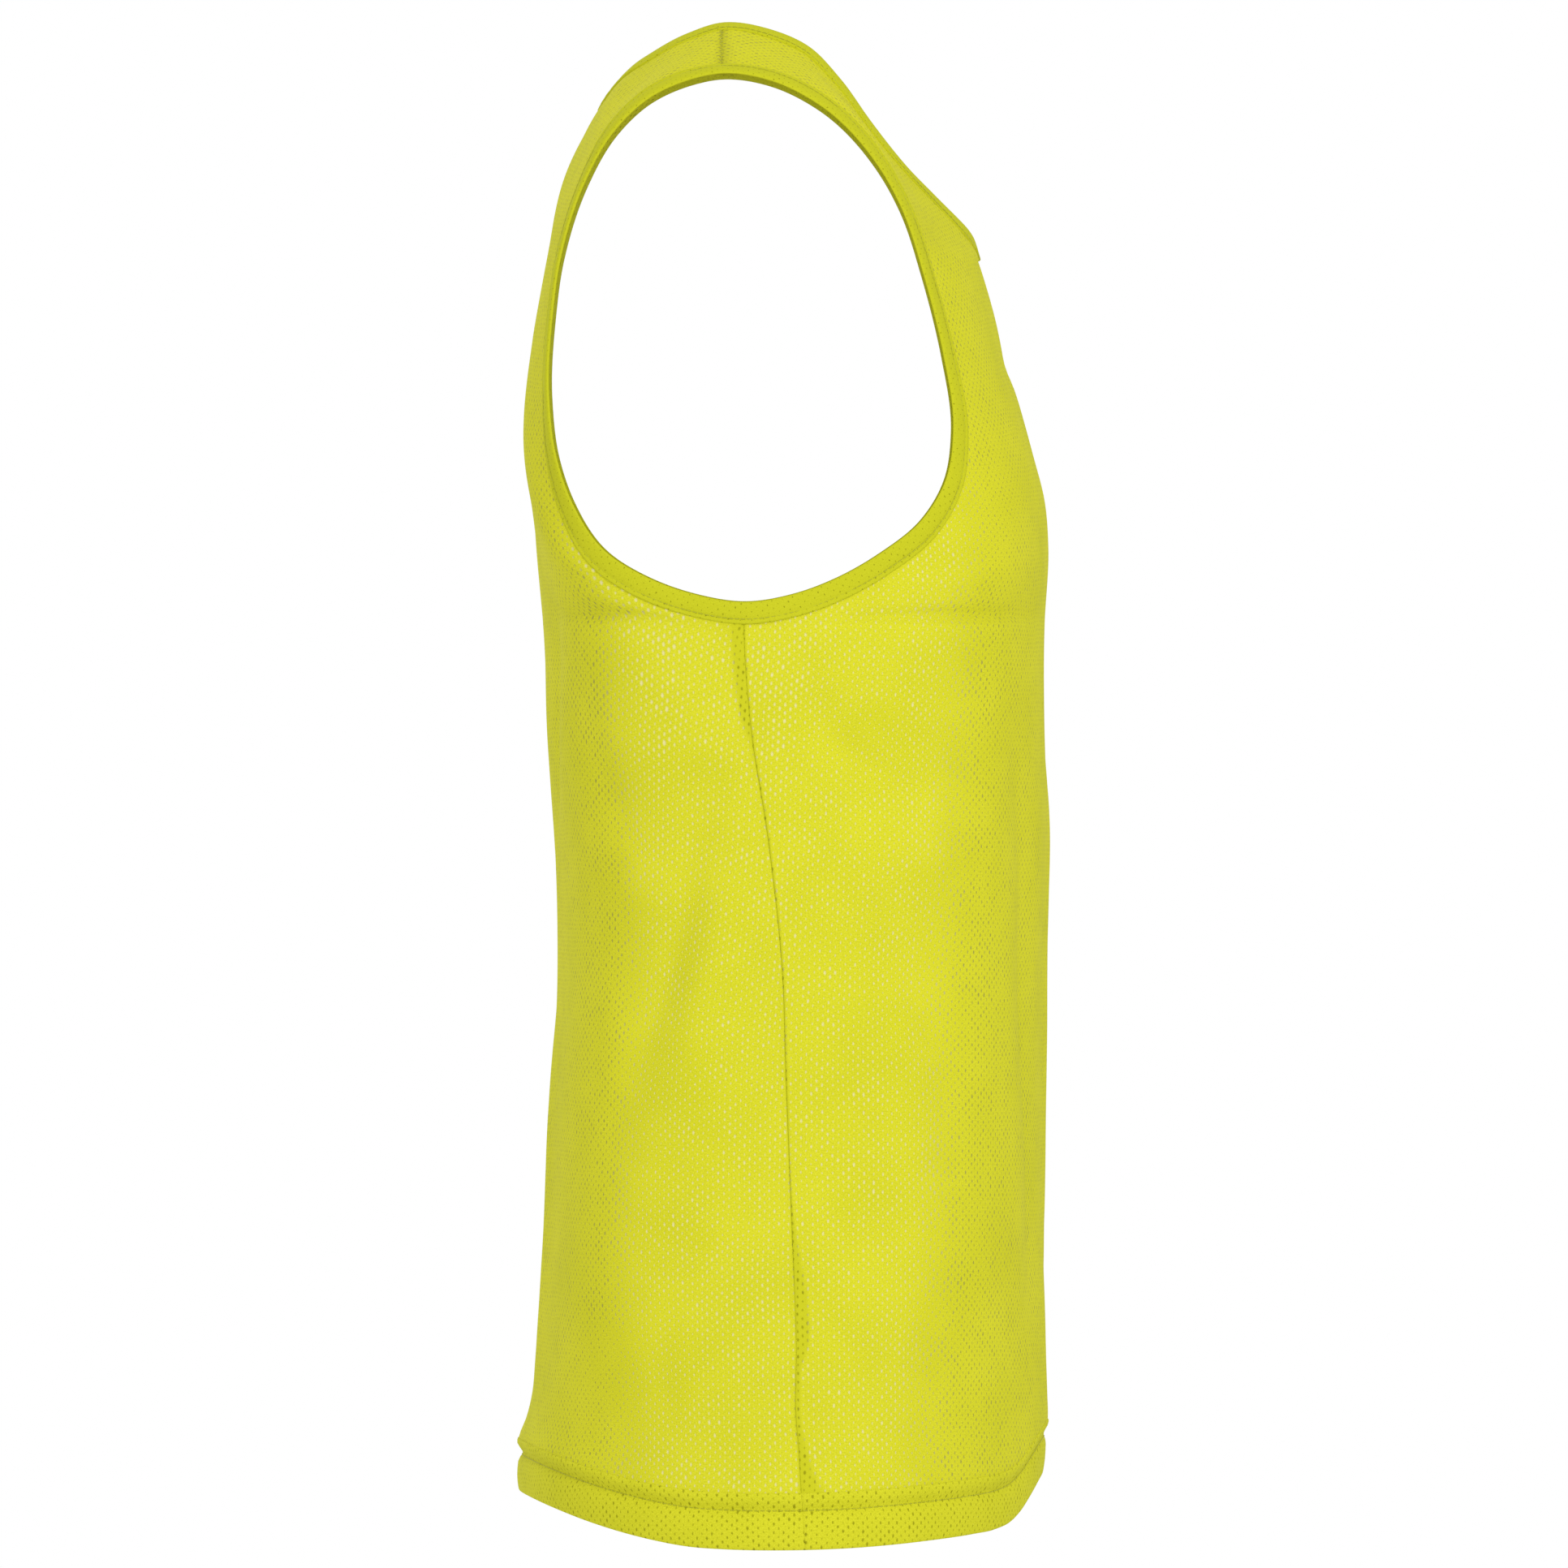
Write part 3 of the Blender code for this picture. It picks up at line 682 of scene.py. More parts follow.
class Half:
    """The left half of one panel: rows of the hem, below the armhole, beside it, and on the strap."""

    def __init__(self, front, armhole, neck):
        self.front = front
        self.facing = -1 if front else 1
        self.armhole = armhole
        self.neck = neck
        self.band = sizes().band
        top = armhole.place(ARMHOLE_SHOULDER)
        whole = armhole.place(len(ARMHOLE))
        neck_top = neck.place(NECK_SHOULDER)
        neck_end = neck.place(len(NECK) - 1)
        count = ARMHOLE_ROWS + STRAP_ROWS
        self.armhole_along = self.climbing(0 if front else whole, top, count + 1)
        self.neck_along = np.linspace(0 if front else neck_end, neck_top, STRAP_ROWS + 1)

    def climbing(self, start, end, count):
        """Distances along the armhole where rows end: close together where it climbs, and further
        apart at its foot, where it runs along with the rows."""
        along = np.linspace(start, end, SAMPLES)
        steps = np.diff(self.armhole.frame(along)[0], axis=0)
        level = np.linalg.norm(steps[:, :2], axis=1) * LEVEL_SHARE
        far = np.concatenate(((0.0,), np.cumsum(np.hypot(level, steps[:, 2]))))
        return np.interp(np.linspace(0, far[-1], count), far, along)

    def centre_line(self, z):
        """Points of the centre front or centre back."""
        y, = body(z, "front_y" if self.front else "back_y")
        return np.stack((np.zeros(len(z)), y * MM, z), axis=1)

    def side_seam(self, z):
        """Points of the side seam and their normals."""
        y, x = body(z, "side_y", "half_width")
        above, = body(z + MM, "half_width")
        points = np.stack((x * MM, y * MM, z), axis=1)
        return points, unit(np.stack((np.ones(len(z)), np.zeros(len(z)), x - above), axis=1))

    def square(self, z):
        """How square the corner is at each height."""
        found, = body(z, "front_square" if self.front else "back_square")
        return np.clip(found, 0, MOST_SQUARE)

    def armhole_side(self):
        """The panel's boundary beside the armhole band, from the side seam to the shoulder."""
        points, normals, inward = self.armhole.frame(self.armhole_along)
        return points + inward * self.band, normals, inward

    def neck_side(self):
        """The panel's boundary beside the neck band, from the centre line to the shoulder."""
        points, normals, inward = self.neck.frame(self.neck_along)
        points = points + inward * self.band
        points[0, 0] = 0
        return points, normals, inward

    def drop(self):
        """Height of the side seam, from the hem's edge to the armhole."""
        return self.armhole_side()[0][0, 2] - HEM[HEM_SIDE_ROW][1] * MM

    def below(self, shares):
        """Rows at the given shares of the way from the hem's edge up to the armhole."""
        top = self.armhole_side()[0][0, 2]
        share = np.asarray(shares)[:, None]
        centre_y, = body(np.array((HEM[0][1] * MM,)), "front_y" if self.front else "back_y")
        centre_z = (1 - share[:, 0]) * hem_z(centre_y * MM) + share[:, 0] * top
        side_y, = body(np.array((HEM[HEM_SIDE_ROW][1] * MM,)), "side_y")
        side_z = (1 - share[:, 0]) * hem_z(side_y * MM) + share[:, 0] * top
        side, side_normal = self.side_seam(side_z)
        inner = self.centre_line(centre_z)
        way = np.tile((1.0, 0.0, 0.0), (len(inner), 1))
        rows = sweep(inner, way, side, side_normal, self.square(side_z))
        rows[..., 2] = (1 - share) * hem_z(rows[..., 1]) + share * top
        return rows

    def beside(self):
        """Rows beside the armhole and on the strap, above the armhole's lowest point."""
        outer, outer_normal, _ = self.armhole_side()
        neck, neck_normal, _ = self.neck_side()
        first, last = outer[0, 2], neck[0, 2]
        step = np.linspace(0, 1, ARMHOLE_ROWS + 1)[1:]
        level = outer[1:ARMHOLE_ROWS + 1, 2]
        level = (level - first) / (level[-1] - first)
        centre = self.centre_line(first + (last - first) * (0.5 * level + 0.5 * step))
        centre[-1] = neck[0]
        inner = np.vstack((centre, neck[1:]))
        chord = outer[1:] - inner
        normal = np.vstack((np.tile((0.0, self.facing, 0.0), (len(centre), 1)), neck_normal[1:]))
        way = unit(chord - np.sum(chord * normal, axis=1, keepdims=True) * normal)
        free = np.clip(inner[:, :1] / (LEVEL_WIDTH * MM), 0, 1)
        way = unit(free * way + (1 - free) * np.array((1.0, 0.0, 0.0)))
        square = self.square(outer[1:, 2]) * ARMHOLE_SQUARE
        return sweep(inner, way, outer[1:], outer_normal[1:], square)

    def rows(self, heights, beside):
        """The grid of a piece: its rows at heights above the hem's edge, and those beside the
        armhole where the piece goes up to the shoulder."""
        low = self.below(np.asarray(heights) * MM / self.drop())
        return spread(np.vstack((low, self.beside())) if beside else low, HALF_COLUMNS)

    def grain(self, grid):
        """Where each point lies in the flat cloth, in millimetres: how far from the centre line and
        how far up. The columns of the knit run straight up the body and along the strap. Each step
        of the grid is split into its parts along and across them, and the places that fit all the
        steps best are found by least squares."""
        normals = grid_normals(grid, -self.facing, 0)
        upright = np.array((0.0, 0.0, 1.0)) - normals * normals[..., 2:]
        strap = self.facing * np.cross(np.array((1.0, 0.0, 0.0)), normals)
        sideways = np.clip((np.abs(normals[..., :1]) - 0.45) / 0.3, 0, 1)
        low = grid[..., 2:] < self.armhole_side()[0][0, 2]
        share = np.where(low, 1.0, sideways)
        columns = unit(unit(strap) * (1 - share) + unit(upright) * share)
        table = np.array(LEAN, float)
        turn = smooth(table[:, 0], table[:, 1:], np.ravel(grid[..., 2]) / MM)
        turn = np.radians(turn[:, 0 if self.front else 1]).reshape(grid.shape[:2])
        turn = (turn * np.clip(np.abs(normals[..., 0]) * 1.4, 0, 1) ** 2)[..., None]
        forward = np.cross(normals, columns)
        columns = columns * np.cos(turn) + forward * np.sin(turn)
        across = -self.facing * np.cross(columns, normals)
        fixed = np.abs(grid[..., 0]) < SAME_POINT * MM
        return settle(grid / MM, across, fixed), settle(grid / MM, columns, fixed)

    def finish(self, grid, sign, seam_rows):
        """The grid on the wearer's left (1) or right (-1), moved out by the folds, the creases, the
        ripple and the hem's roll. Also its normals."""
        normals = grid_normals(grid, -self.facing, seam_rows)
        flip = np.array((sign, 1.0, 1.0))
        grid, normals = grid * flip, normals * flip
        return grid + normals * swell(grid, normals)[..., None], normals


def settle(grid, way, fixed):
    """Values on a grid that grow by one for each unit along the given way, and nowhere else, as well
    as they can. Each square is cut into two triangles, and the misfit of their slopes, by area, is
    the least: a step weighs as much as the cotangents of the angles that face it. The values start
    from the steps along the rows, conjugate gradients even them out, and fixed ones stay."""

    def wanted(start, end, start_way, end_way):
        step = end - start
        return step, np.sum(step * (start_way + end_way) / 2, axis=2)

    up, up_want = wanted(grid[:-1], grid[1:], way[:-1], way[1:])
    along, along_want = wanted(grid[:, :-1], grid[:, 1:], way[:, :-1], way[:, 1:])
    over, over_want = wanted(grid[:-1, :-1], grid[1:, 1:], way[:-1, :-1], way[1:, 1:])
    low = np.maximum(np.linalg.norm(np.cross(along[:-1], up[:, 1:]), axis=2), LEAST_AREA)
    high = np.maximum(np.linalg.norm(np.cross(along[1:], up[:, :-1]), axis=2), LEAST_AREA)
    up_weight, along_weight = np.zeros(up.shape[:2]), np.zeros(along.shape[:2])
    along_weight[:-1] += np.sum(over * up[:, 1:], axis=2) / low
    along_weight[1:] += np.sum(over * up[:, :-1], axis=2) / high
    up_weight[:, 1:] += np.sum(over * along[:-1], axis=2) / low
    up_weight[:, :-1] += np.sum(over * along[1:], axis=2) / high
    over_weight = -np.sum(along[:-1] * up[:, 1:], axis=2) / low
    over_weight = over_weight - np.sum(along[1:] * up[:, :-1], axis=2) / high
    first = np.concatenate(((0.0,), np.cumsum(up_want[:, 0])))
    value = np.concatenate((first[:, None], first[:, None] + np.cumsum(along_want, axis=1)), axis=1)

    def gather(rise, run, slant, sign=-1):
        total = np.zeros_like(value)
        for part, weight, ahead, behind in (
            (rise, up_weight, np.s_[1:], np.s_[:-1]),
            (run, along_weight, np.s_[:, 1:], np.s_[:, :-1]),
            (slant, over_weight, np.s_[1:, 1:], np.s_[:-1, :-1]),
        ):
            total[ahead] += part * weight
            total[behind] += sign * part * weight
        return total

    def misfit(field):
        return np.diff(field, axis=0), np.diff(field, axis=1), field[1:, 1:] - field[:-1, :-1]

    rise, run, slant = misfit(value)
    left = gather(up_want - rise, along_want - run, over_want - slant)
    left[fixed] = 0
    scale = np.maximum(gather(1.0, 1.0, 1.0, sign=1), LEAST_AREA)
    ready = left / scale
    step = ready.copy()
    size = np.sum(left * ready)
    for _ in range(SETTLE_STEPS):
        change = gather(*misfit(step))
        change[fixed] = 0
        far = size / max(np.sum(step * change), 1e-20)
        value += far * step
        left -= far * change
        ready = left / scale
        new_size = np.sum(left * ready)
        step = ready + step * new_size / max(size, 1e-20)
        size = new_size
    return value


def spots(points, normals):
    """How far the holes are pulled open (or closed, minus) round each stretched place."""
    out = np.zeros(points.shape[:-1])
    for side, across, z, wide, high, amount in OPEN_SPOTS:
        view, axis = SIDE_VIEWS[side]
        facing = np.clip(np.sum(normals * view, axis=-1) * 2, 0, 1)
        far = ((points[..., axis] / MM - across) / wide) ** 2 + ((points[..., 2] / MM - z) / high) ** 2
        out += amount * facing * np.exp(-far)
    return out


def swell(points, normals):
    """How far the cloth stands out from the plain surface at each point."""
    height = np.maximum(points[..., 2] - hem_z(points[..., 1]), 0)
    fade = np.clip((height / MM - 30) / 30, 0.15, 1)
    out = folds(points, normals, FOLDS) + folds(points, normals, CREASES) * fade
    return out + ripple(points) * fade + relief(height, points[..., 1])


def seam_pull(distance, z, front):
    """How the side seam draws the cloth in at its line and lifts it over the allowance behind."""
    away = distance / MM
    reach = allowance(z, front)
    pucker = 0.10 * np.sin(z / MM / 1.9 + 2.0 * np.sin(z / MM / 11.0)) * np.exp(-away / 4)
    lift = 0.28 * np.exp(-(((away - reach / 2 - 0.6) / (reach / 2 + 0.6)) ** 4))
    return (-0.28 * np.exp(-((away / 0.8) ** 2)) + lift + pucker) * MM


def allowance(z, front):
    """How far the side seam's allowance reaches behind the front or the back, in millimetres."""
    table = np.array(ALLOWANCE, float)
    column = 1 if front else 2
    found = smooth(table[:, 0], table[:, column:column + 1], np.ravel(z) / MM)
    return found[:, 0].reshape(np.shape(z))


def sizes():
    """The sizes that the sidebar shows."""
    return bpy.context.scene.bib_sizes


def colours():
    """The colours that the sidebar shows."""
    return bpy.context.scene.bib_colours


def linear(text):
    """An sRGB hex value as linear red, green, blue and one."""
    parts = [int(text[i:i + 2], 16) / 255 for i in (1, 3, 5)]
    return [p / 12.92 if p <= 0.04045 else ((p + 0.055) / 1.055) ** 2.4 for p in parts] + [1.0]


def grid_faces(rows, columns, start, turned, around=False):
    """Quads of a grid of rows by columns points, numbered from start, closed across its columns
    where it goes all the way round."""
    row = np.arange(rows - 1)[:, None]
    column = np.arange(columns if around else columns - 1)[None, :]
    after = (column + 1) % columns
    quads = np.stack(
        np.broadcast_arrays(
            row * columns + column,
            row * columns + after,
            (row + 1) * columns + after,
            (row + 1) * columns + column,
        ),
        axis=-1,
    ).reshape(-1, 4)
    return (quads[:, ::-1] if turned else quads) + start


def make(name, points, quads, material, facts, ends=()):
    """A finished piece from points, quads and end faces, with the facts of its cloth as attributes,
    and its doubles merged. The grain is its place in the flat cloth, and the others are numbers."""
    mesh = bpy.data.meshes.new(name)
    faces = quads.tolist() + [list(end) for end in ends]
    mesh.from_pydata(points.tolist(), [], faces)
    for fact, values in facts.items():
        kind, field = ("FLOAT_VECTOR", "vector") if fact == "grain" else ("FLOAT", "value")
        place = "POINT" if len(values) == len(points) else "CORNER"
        mesh.attributes.new(fact, kind, place).data.foreach_set(field, np.ravel(values))
    work = bmesh.new()
    work.from_mesh(mesh)
    bmesh.ops.remove_doubles(work, verts=work.verts, dist=SAME_POINT * MM)
    work.to_mesh(mesh)
    work.free()
    mesh.shade_smooth()
    mesh.materials.append(material)
    piece = bpy.data.objects.new(name, mesh)
    bpy.context.scene.collection.objects.link(piece)
    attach(piece, "root")
    return piece


def shell(piece, thickness):
    """Give a sheet its thickness, inward from its outer face."""
    wall = piece.modifiers.new("cloth", "SOLIDIFY")
    wall.thickness = thickness
    wall.offset = -1


def add(tree, kind, settings=None, inputs=None):
    """A node with its settings and its inputs, each a value or another node's output."""
    node = tree.nodes.new(kind)
    for name, value in (settings or {}).items():
        setattr(node, name, value)
    for name, value in (inputs or {}).items():
        if isinstance(value, bpy.types.NodeSocket):
            tree.links.new(value, node.inputs[name])
        else:
            node.inputs[name].default_value = value
    return node


def math_node(tree, operation, *values):
    """The result of one sum."""
    node = add(tree, "ShaderNodeMath", {"operation": operation}, dict(enumerate(values)))
    return node.outputs[0]


def knit(name, hole_scale, see_through, doubled_everywhere, doubled_cloth_shade=0.0):
    """Warp-knit polyester mesh: columns of small upright oval holes, each column half a hole's pitch
    above the next. It is matt with a slight sheen of filament yarn. The cloth between the yarn loops
    is painted a shade darker. The holes of single cloth let light through, and are also painted pale
    with that light. Holes over a second layer, and those over the shaded inside of the garment, are
    painted dark with shade, and cloth that lies double is painted a shade darker, since no light comes
    through it. The pattern follows the flat cloth."""
    size, colour = sizes(), colours()
    material = bpy.data.materials.new(name)
    material.use_nodes = True
    tree = material.node_tree
    shader = tree.nodes["Principled BSDF"]
    grain = add(tree, "ShaderNodeAttribute", {"attribute_name": "grain"}).outputs["Vector"]
    drift = add(tree, "ShaderNodeTexNoise", {}, {"Vector": grain, "Scale": 0.035, "Detail": 1.0})
    shift = add(
        tree,
        "ShaderNodeVectorMath",
        {"operation": "MULTIPLY_ADD"},
        {0: drift.outputs["Color"], 1: (2.2, 2.6, 0.0), 2: grain},
    )
    # The yarn round a hole is fuzzy, so its edge wanders by a few tenths of a millimetre.
    fuzz = add(tree, "ShaderNodeTexNoise", {}, {"Vector": grain, "Scale": 1.7, "Detail": 1.0})
    frayed = add(
        tree,
        "ShaderNodeVectorMath",
        {"operation": "MULTIPLY_ADD"},
        {0: fuzz.outputs["Color"], 1: (0.55, 0.7, 0.0), 2: shift.outputs[0]},
    )
    flat = add(tree, "ShaderNodeSeparateXYZ", {}, {0: frayed.outputs[0]})
    column_pitch, hole_pitch = size.column_pitch / MM, size.hole_pitch / MM
    across = math_node(tree, "DIVIDE", flat.outputs["X"], column_pitch)
    column = math_node(tree, "FLOOR", across)
    side = math_node(tree, "SUBTRACT", math_node(tree, "FRACT", across), 0.5)
    climb = math_node(tree, "DIVIDE", flat.outputs["Y"], hole_pitch)
    climb = math_node(tree, "MULTIPLY_ADD", column, 0.5, climb)
    up = math_node(tree, "SUBTRACT", math_node(tree, "FRACT", climb), 0.5)
    oval = add(
        tree,
        "ShaderNodeCombineXYZ",
        {},
        {
            "X": math_node(tree, "MULTIPLY", side, 2 * column_pitch * MM / size.hole_width),
            "Y": math_node(tree, "MULTIPLY", up, 2 * hole_pitch * MM / size.hole_height),
        },
    )
    away = add(tree, "ShaderNodeVectorMath", {"operation": "LENGTH"}, {0: oval.outputs[0]})
    uneven = add(tree, "ShaderNodeTexNoise", {}, {"Vector": grain, "Scale": 0.06, "Detail": 2.0})
    pull = add(
        tree,
        "ShaderNodeMapRange",
        {},
        {
            "Value": uneven.outputs[0],
            "From Min": 0.3,
            "From Max": 0.7,
            "To Min": 0.82 / hole_scale,
            "To Max": 1.25 / hole_scale,
        },
    )
    cell = add(
        tree,
        "ShaderNodeCombineXYZ",
        {},
        {"X": column, "Y": math_node(tree, "FLOOR", climb)},
    )
    chance = add(
        tree, "ShaderNodeTexWhiteNoise", {"noise_dimensions": "2D"}, {"Vector": cell.outputs[0]}
    )
    single = math_node(tree, "MULTIPLY_ADD", chance.outputs["Value"], 0.45, 0.8)
    reach = math_node(tree, "MULTIPLY", away.outputs["Value"], pull.outputs[0])
    reach = math_node(tree, "MULTIPLY", reach, single)
    if not doubled_everywhere:
        stretch = add(tree, "ShaderNodeAttribute", {"attribute_name": "stretch"}).outputs["Fac"]
        reach = math_node(
            tree, "DIVIDE", reach, math_node(tree, "MULTIPLY_ADD", stretch, 0.5, 1.0)
        )
    hole = add(
        tree,
        "ShaderNodeMapRange",
        {"interpolation_type": "SMOOTHSTEP"},
        {"Value": reach, "From Min": 0.35, "From Max": 1.45, "To Min": 1.0, "To Max": 0.0},
    ).outputs[0]
    hole = math_node(
        tree, "MULTIPLY", hole, math_node(tree, "MULTIPLY_ADD", chance.outputs["Value"], -0.5, 1.0)
    )
    # The loops of the knit are 0.4 mm across. They are drawn 0.7 mm across, so that they show.
    yarn = add(tree, "ShaderNodeTexNoise", {}, {"Vector": grain, "Scale": 1.5, "Detail": 2.0})
    patch = add(tree, "ShaderNodeTexNoise", {}, {"Vector": grain, "Scale": 0.02, "Detail": 2.0})
    grey = math_node(tree, "MULTIPLY_ADD", yarn.outputs[0], 3.0, patch.outputs[0])
    yarn_shade_share = add(
        tree,
        "ShaderNodeMapRange",
        {},
        {"Value": grey, "From Min": 1.5, "From Max": 2.5, "To Min": 0.0, "To Max": 1.0},
    )
    # The cloth between the yarn loops is painted a shade darker, in a mottle that random patches make
    # uneven.
    cloth = add(
        tree,
        "ShaderNodeMix",
        {"data_type": "RGBA"},
        {"Factor": yarn_shade_share.outputs[0], 6: linear(colour.cloth), 7: linear(colour.shade)},
    )
    alpha = None
    if doubled_everywhere:
        # Doubled cloth: every hole is painted dark with the shade of the layer behind, and the cloth
        # is painted a shade darker by the given share, since no light comes through it.
        painted_hole_light_and_shade = linear(colour.doubled)
        base = add(
            tree,
            "ShaderNodeMix",
            {"data_type": "RGBA"},
            {"Factor": doubled_cloth_shade, 6: cloth.outputs[2], 7: linear(colour.doubled_cloth_shade)},
        ).outputs[2]
    else:
        # Single cloth: the holes are painted pale with the light that comes through them, and dark
        # with shade where the cloth lies double and where it stands over the shaded inside. Cloth that
        # lies double is painted a shade darker.
        doubled = add(tree, "ShaderNodeAttribute", {"attribute_name": "doubled"}).outputs["Fac"]
        dark = add(tree, "ShaderNodeAttribute", {"attribute_name": "unlit"}).outputs["Fac"]
        hole_shade_share = math_node(tree, "MAXIMUM", doubled, math_node(tree, "MULTIPLY", dark, 0.8))
        painted_hole_light_and_shade = add(
            tree,
            "ShaderNodeMix",
            {"data_type": "RGBA"},
            {"Factor": hole_shade_share, 6: linear(colour.hole), 7: linear(colour.doubled)},
        ).outputs[2]
        base = add(
            tree,
            "ShaderNodeMix",
            {"data_type": "RGBA"},
            {"Factor": doubled, 6: cloth.outputs[2], 7: linear(colour.shade)},
        ).outputs[2]
        open_share = math_node(tree, "MULTIPLY_ADD", doubled, -see_through, see_through)
        gone = math_node(tree, "MULTIPLY", hole, open_share)
        alpha = math_node(tree, "SUBTRACT", 1.0, gone)
    paint = add(
        tree, "ShaderNodeMix", {"data_type": "RGBA"}, {"Factor": hole, 6: base, 7: painted_hole_light_and_shade}
    )
    sunk = math_node(tree, "MULTIPLY", hole, -1.0)
    thread = math_node(tree, "MULTIPLY_ADD", yarn.outputs[0], 0.35, sunk)
    bump = add(
        tree, "ShaderNodeBump", {}, {"Strength": 0.5, "Distance": 0.0005, "Height": thread}
    )
    tree.links.new(paint.outputs[2], shader.inputs["Base Color"])
    tree.links.new(bump.outputs[0], shader.inputs["Normal"])
    if alpha is not None:
        tree.links.new(alpha, shader.inputs["Alpha"])
    shader.inputs["Roughness"].default_value = 0.85
    shader.inputs["Specular IOR Level"].default_value = 0.08
    return material


def thread_material():
    """Polyester sewing thread: spun, twisted and dyed to match, a shade deeper than the cloth."""
    material = bpy.data.materials.new("spun_polyester_thread")
    material.use_nodes = True
    shader = material.node_tree.nodes["Principled BSDF"]
    shader.inputs["Base Color"].default_value = linear(colours().thread)
    shader.inputs["Roughness"].default_value = 0.6
    shader.inputs["Sheen Weight"].default_value = 0.1
    return material


def material_named(name, maker):
    """The material of that name, made by maker if it isn't there yet."""
    return bpy.data.materials.get(name) or maker()


def mesh_cloth():
    """Single mesh, whose holes let some light through and are painted pale with that light; over the
    shaded inside they are painted dark with shade.
    """
    return material_named(
        "warp_knit_polyester_mesh", lambda: knit("warp_knit_polyester_mesh", 1.0, 0.2, False)
    )


def doubled_mesh():
    """Mesh turned up on itself, whose holes are painted dark with the shade of the layer behind, and
    whose cloth is painted a shade darker, since no light comes through it.
    """
    return material_named(
        "doubled_polyester_mesh", lambda: knit("doubled_polyester_mesh", 0.95, 0.0, True, 0.1)
    )


def binding_mesh():
    """Mesh folded round an edge and pulled tight, whose holes are pinholes painted dark with the shade
    of the layer behind, and whose cloth is painted a shade darker, since no light comes through it.
    """
    return material_named(
        "folded_mesh_binding", lambda: knit("folded_mesh_binding", 0.5, 0.0, True, 0.65)
    )


def sewing_thread():
    """The thread of all seams."""
    return material_named("spun_polyester_thread", thread_material)


def edges():
    """The armhole and the neck."""
    return Edge(ARMHOLE, closed=True), Edge(NECK, closed=False)


def halves():
    """The left halves of the front and the back."""
    armhole, neck = edges()
    return Half(True, armhole, neck), Half(False, armhole, neck)


def unlit(normals):
    """How dark it is behind the holes: light comes through the sides, and the front and the back
    stand over the shaded inside of the garment."""
    share = np.clip((0.88 - np.abs(normals[..., 0])) / 0.33, 0, 1)
    return share * share * (3 - 2 * share)


def from_seam(grid):
    """Distance of each grid point from the row's outer end."""
    step = np.linalg.norm(np.diff(grid, axis=1), axis=2)
    back = np.cumsum(step[:, ::-1], axis=1)[:, ::-1]
    return np.concatenate((back, np.zeros((len(grid), 1))), axis=1)


def panel(name, half, node):
    """One panel of single mesh: both halves, and the edges that run on under the bands and into the
    hem. The cloth under the bands goes straight on from the panel's boundary."""
    heights = np.concatenate((IN_HEM, np.linspace(HEM_TOP, half.drop() / MM, LOW_ROWS)))
    grid = half.rows(heights, True)
    side, height = half.grain(grid)
    seam_rows = len(heights)
    away = from_seam(grid)
    below = (np.arange(len(grid)) < seam_rows)[:, None]
    beside = np.full(len(grid) - seam_rows, HEM_TOP)
    tucked = np.clip((HEM_TOP - np.concatenate((heights, beside))) / TUCK_HEIGHT, 0, 1)
    pull = np.where(below, seam_pull(away, grid[..., 2], half.front), 0)
    pull = pull * np.clip((half.drop() + grid[:1, -1:, 2] - grid[..., 2]) / (6 * MM), 0, 1)
    reach = allowance(grid[..., 2], half.front)
    # Where the allowance lies behind, the cloth is double: less light comes through its holes, which
    # are painted dark with shade, and the cloth is painted a shade darker.
    doubled = np.where(below, np.clip((reach - away / MM) / 0.8 + 0.5, 0, 1), 0)
    _, _, inward = half.armhole_side()
    _, _, neck_inward = half.neck_side()
    points, quads = [], []
    facts = {"grain": [], "doubled": [], "unlit": [], "stretch": []}
    count = 0

    def collect(part, normals, across, upward, twice, turned):
        nonlocal count
        rows, columns = part.shape[:2]
        points.append(part.reshape(-1, 3))
        quads.append(grid_faces(rows, columns, count, turned))
        facts["grain"].append(
            np.stack((across, upward, np.zeros_like(across)), axis=-1).reshape(-1, 3)
        )
        facts["doubled"].append(np.ravel(twice))
        facts["unlit"].append(np.ravel(unlit(normals)))
        facts["stretch"].append(np.ravel(spots(part, normals)))
        count += rows * columns

    for sign in (1, -1):
        turned = (sign > 0) != half.front
        flip = np.array((sign, 1.0, 1.0))
        made, normals = half.finish(grid, sign, seam_rows)
        made = made + normals * (pull - tucked[:, None] * TUCK_DEPTH * MM)[..., None]
        collect(made, normals, side * sign, height, doubled, turned)
        under = np.array(UNDER_BAND) * MM
        arm = made[seam_rows - 1:, -1]
        grid_arm = arm[:, None] - (inward * flip)[:, None] * under[None, :, None]
        arm_side = side[seam_rows - 1:, -1:] + under / MM
        arm_height = np.repeat(height[seam_rows - 1:, -1:], len(under), axis=1)
        arm_normals = np.repeat(normals[seam_rows - 1:, -1:], len(under), axis=1)
        twice = np.ones(grid_arm.shape[:2])
        collect(grid_arm, arm_normals, arm_side * sign, arm_height, twice, turned)
        throat = made[seam_rows + ARMHOLE_ROWS - 1:, 0]
        grid_neck = throat[:, None] - (neck_inward * flip)[:, None] * under[None, ::-1, None]
        neck_side = side[seam_rows + ARMHOLE_ROWS - 1:, :1] - under[::-1] / MM
        neck_height = np.repeat(height[seam_rows + ARMHOLE_ROWS - 1:, :1], len(under), axis=1)
        neck_normals = np.repeat(normals[seam_rows + ARMHOLE_ROWS - 1:, :1], len(under), axis=1)
        twice = np.ones(grid_neck.shape[:2])
        collect(grid_neck, neck_normals, neck_side * sign, neck_height, twice, turned)
    piece = make(
        name,
        np.vstack(points),
        np.vstack(quads),
        mesh_cloth(),
        {fact: np.concatenate(parts) for fact, parts in facts.items()},
    )
    shell(piece, sizes().cloth)
    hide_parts(node)
    return piece


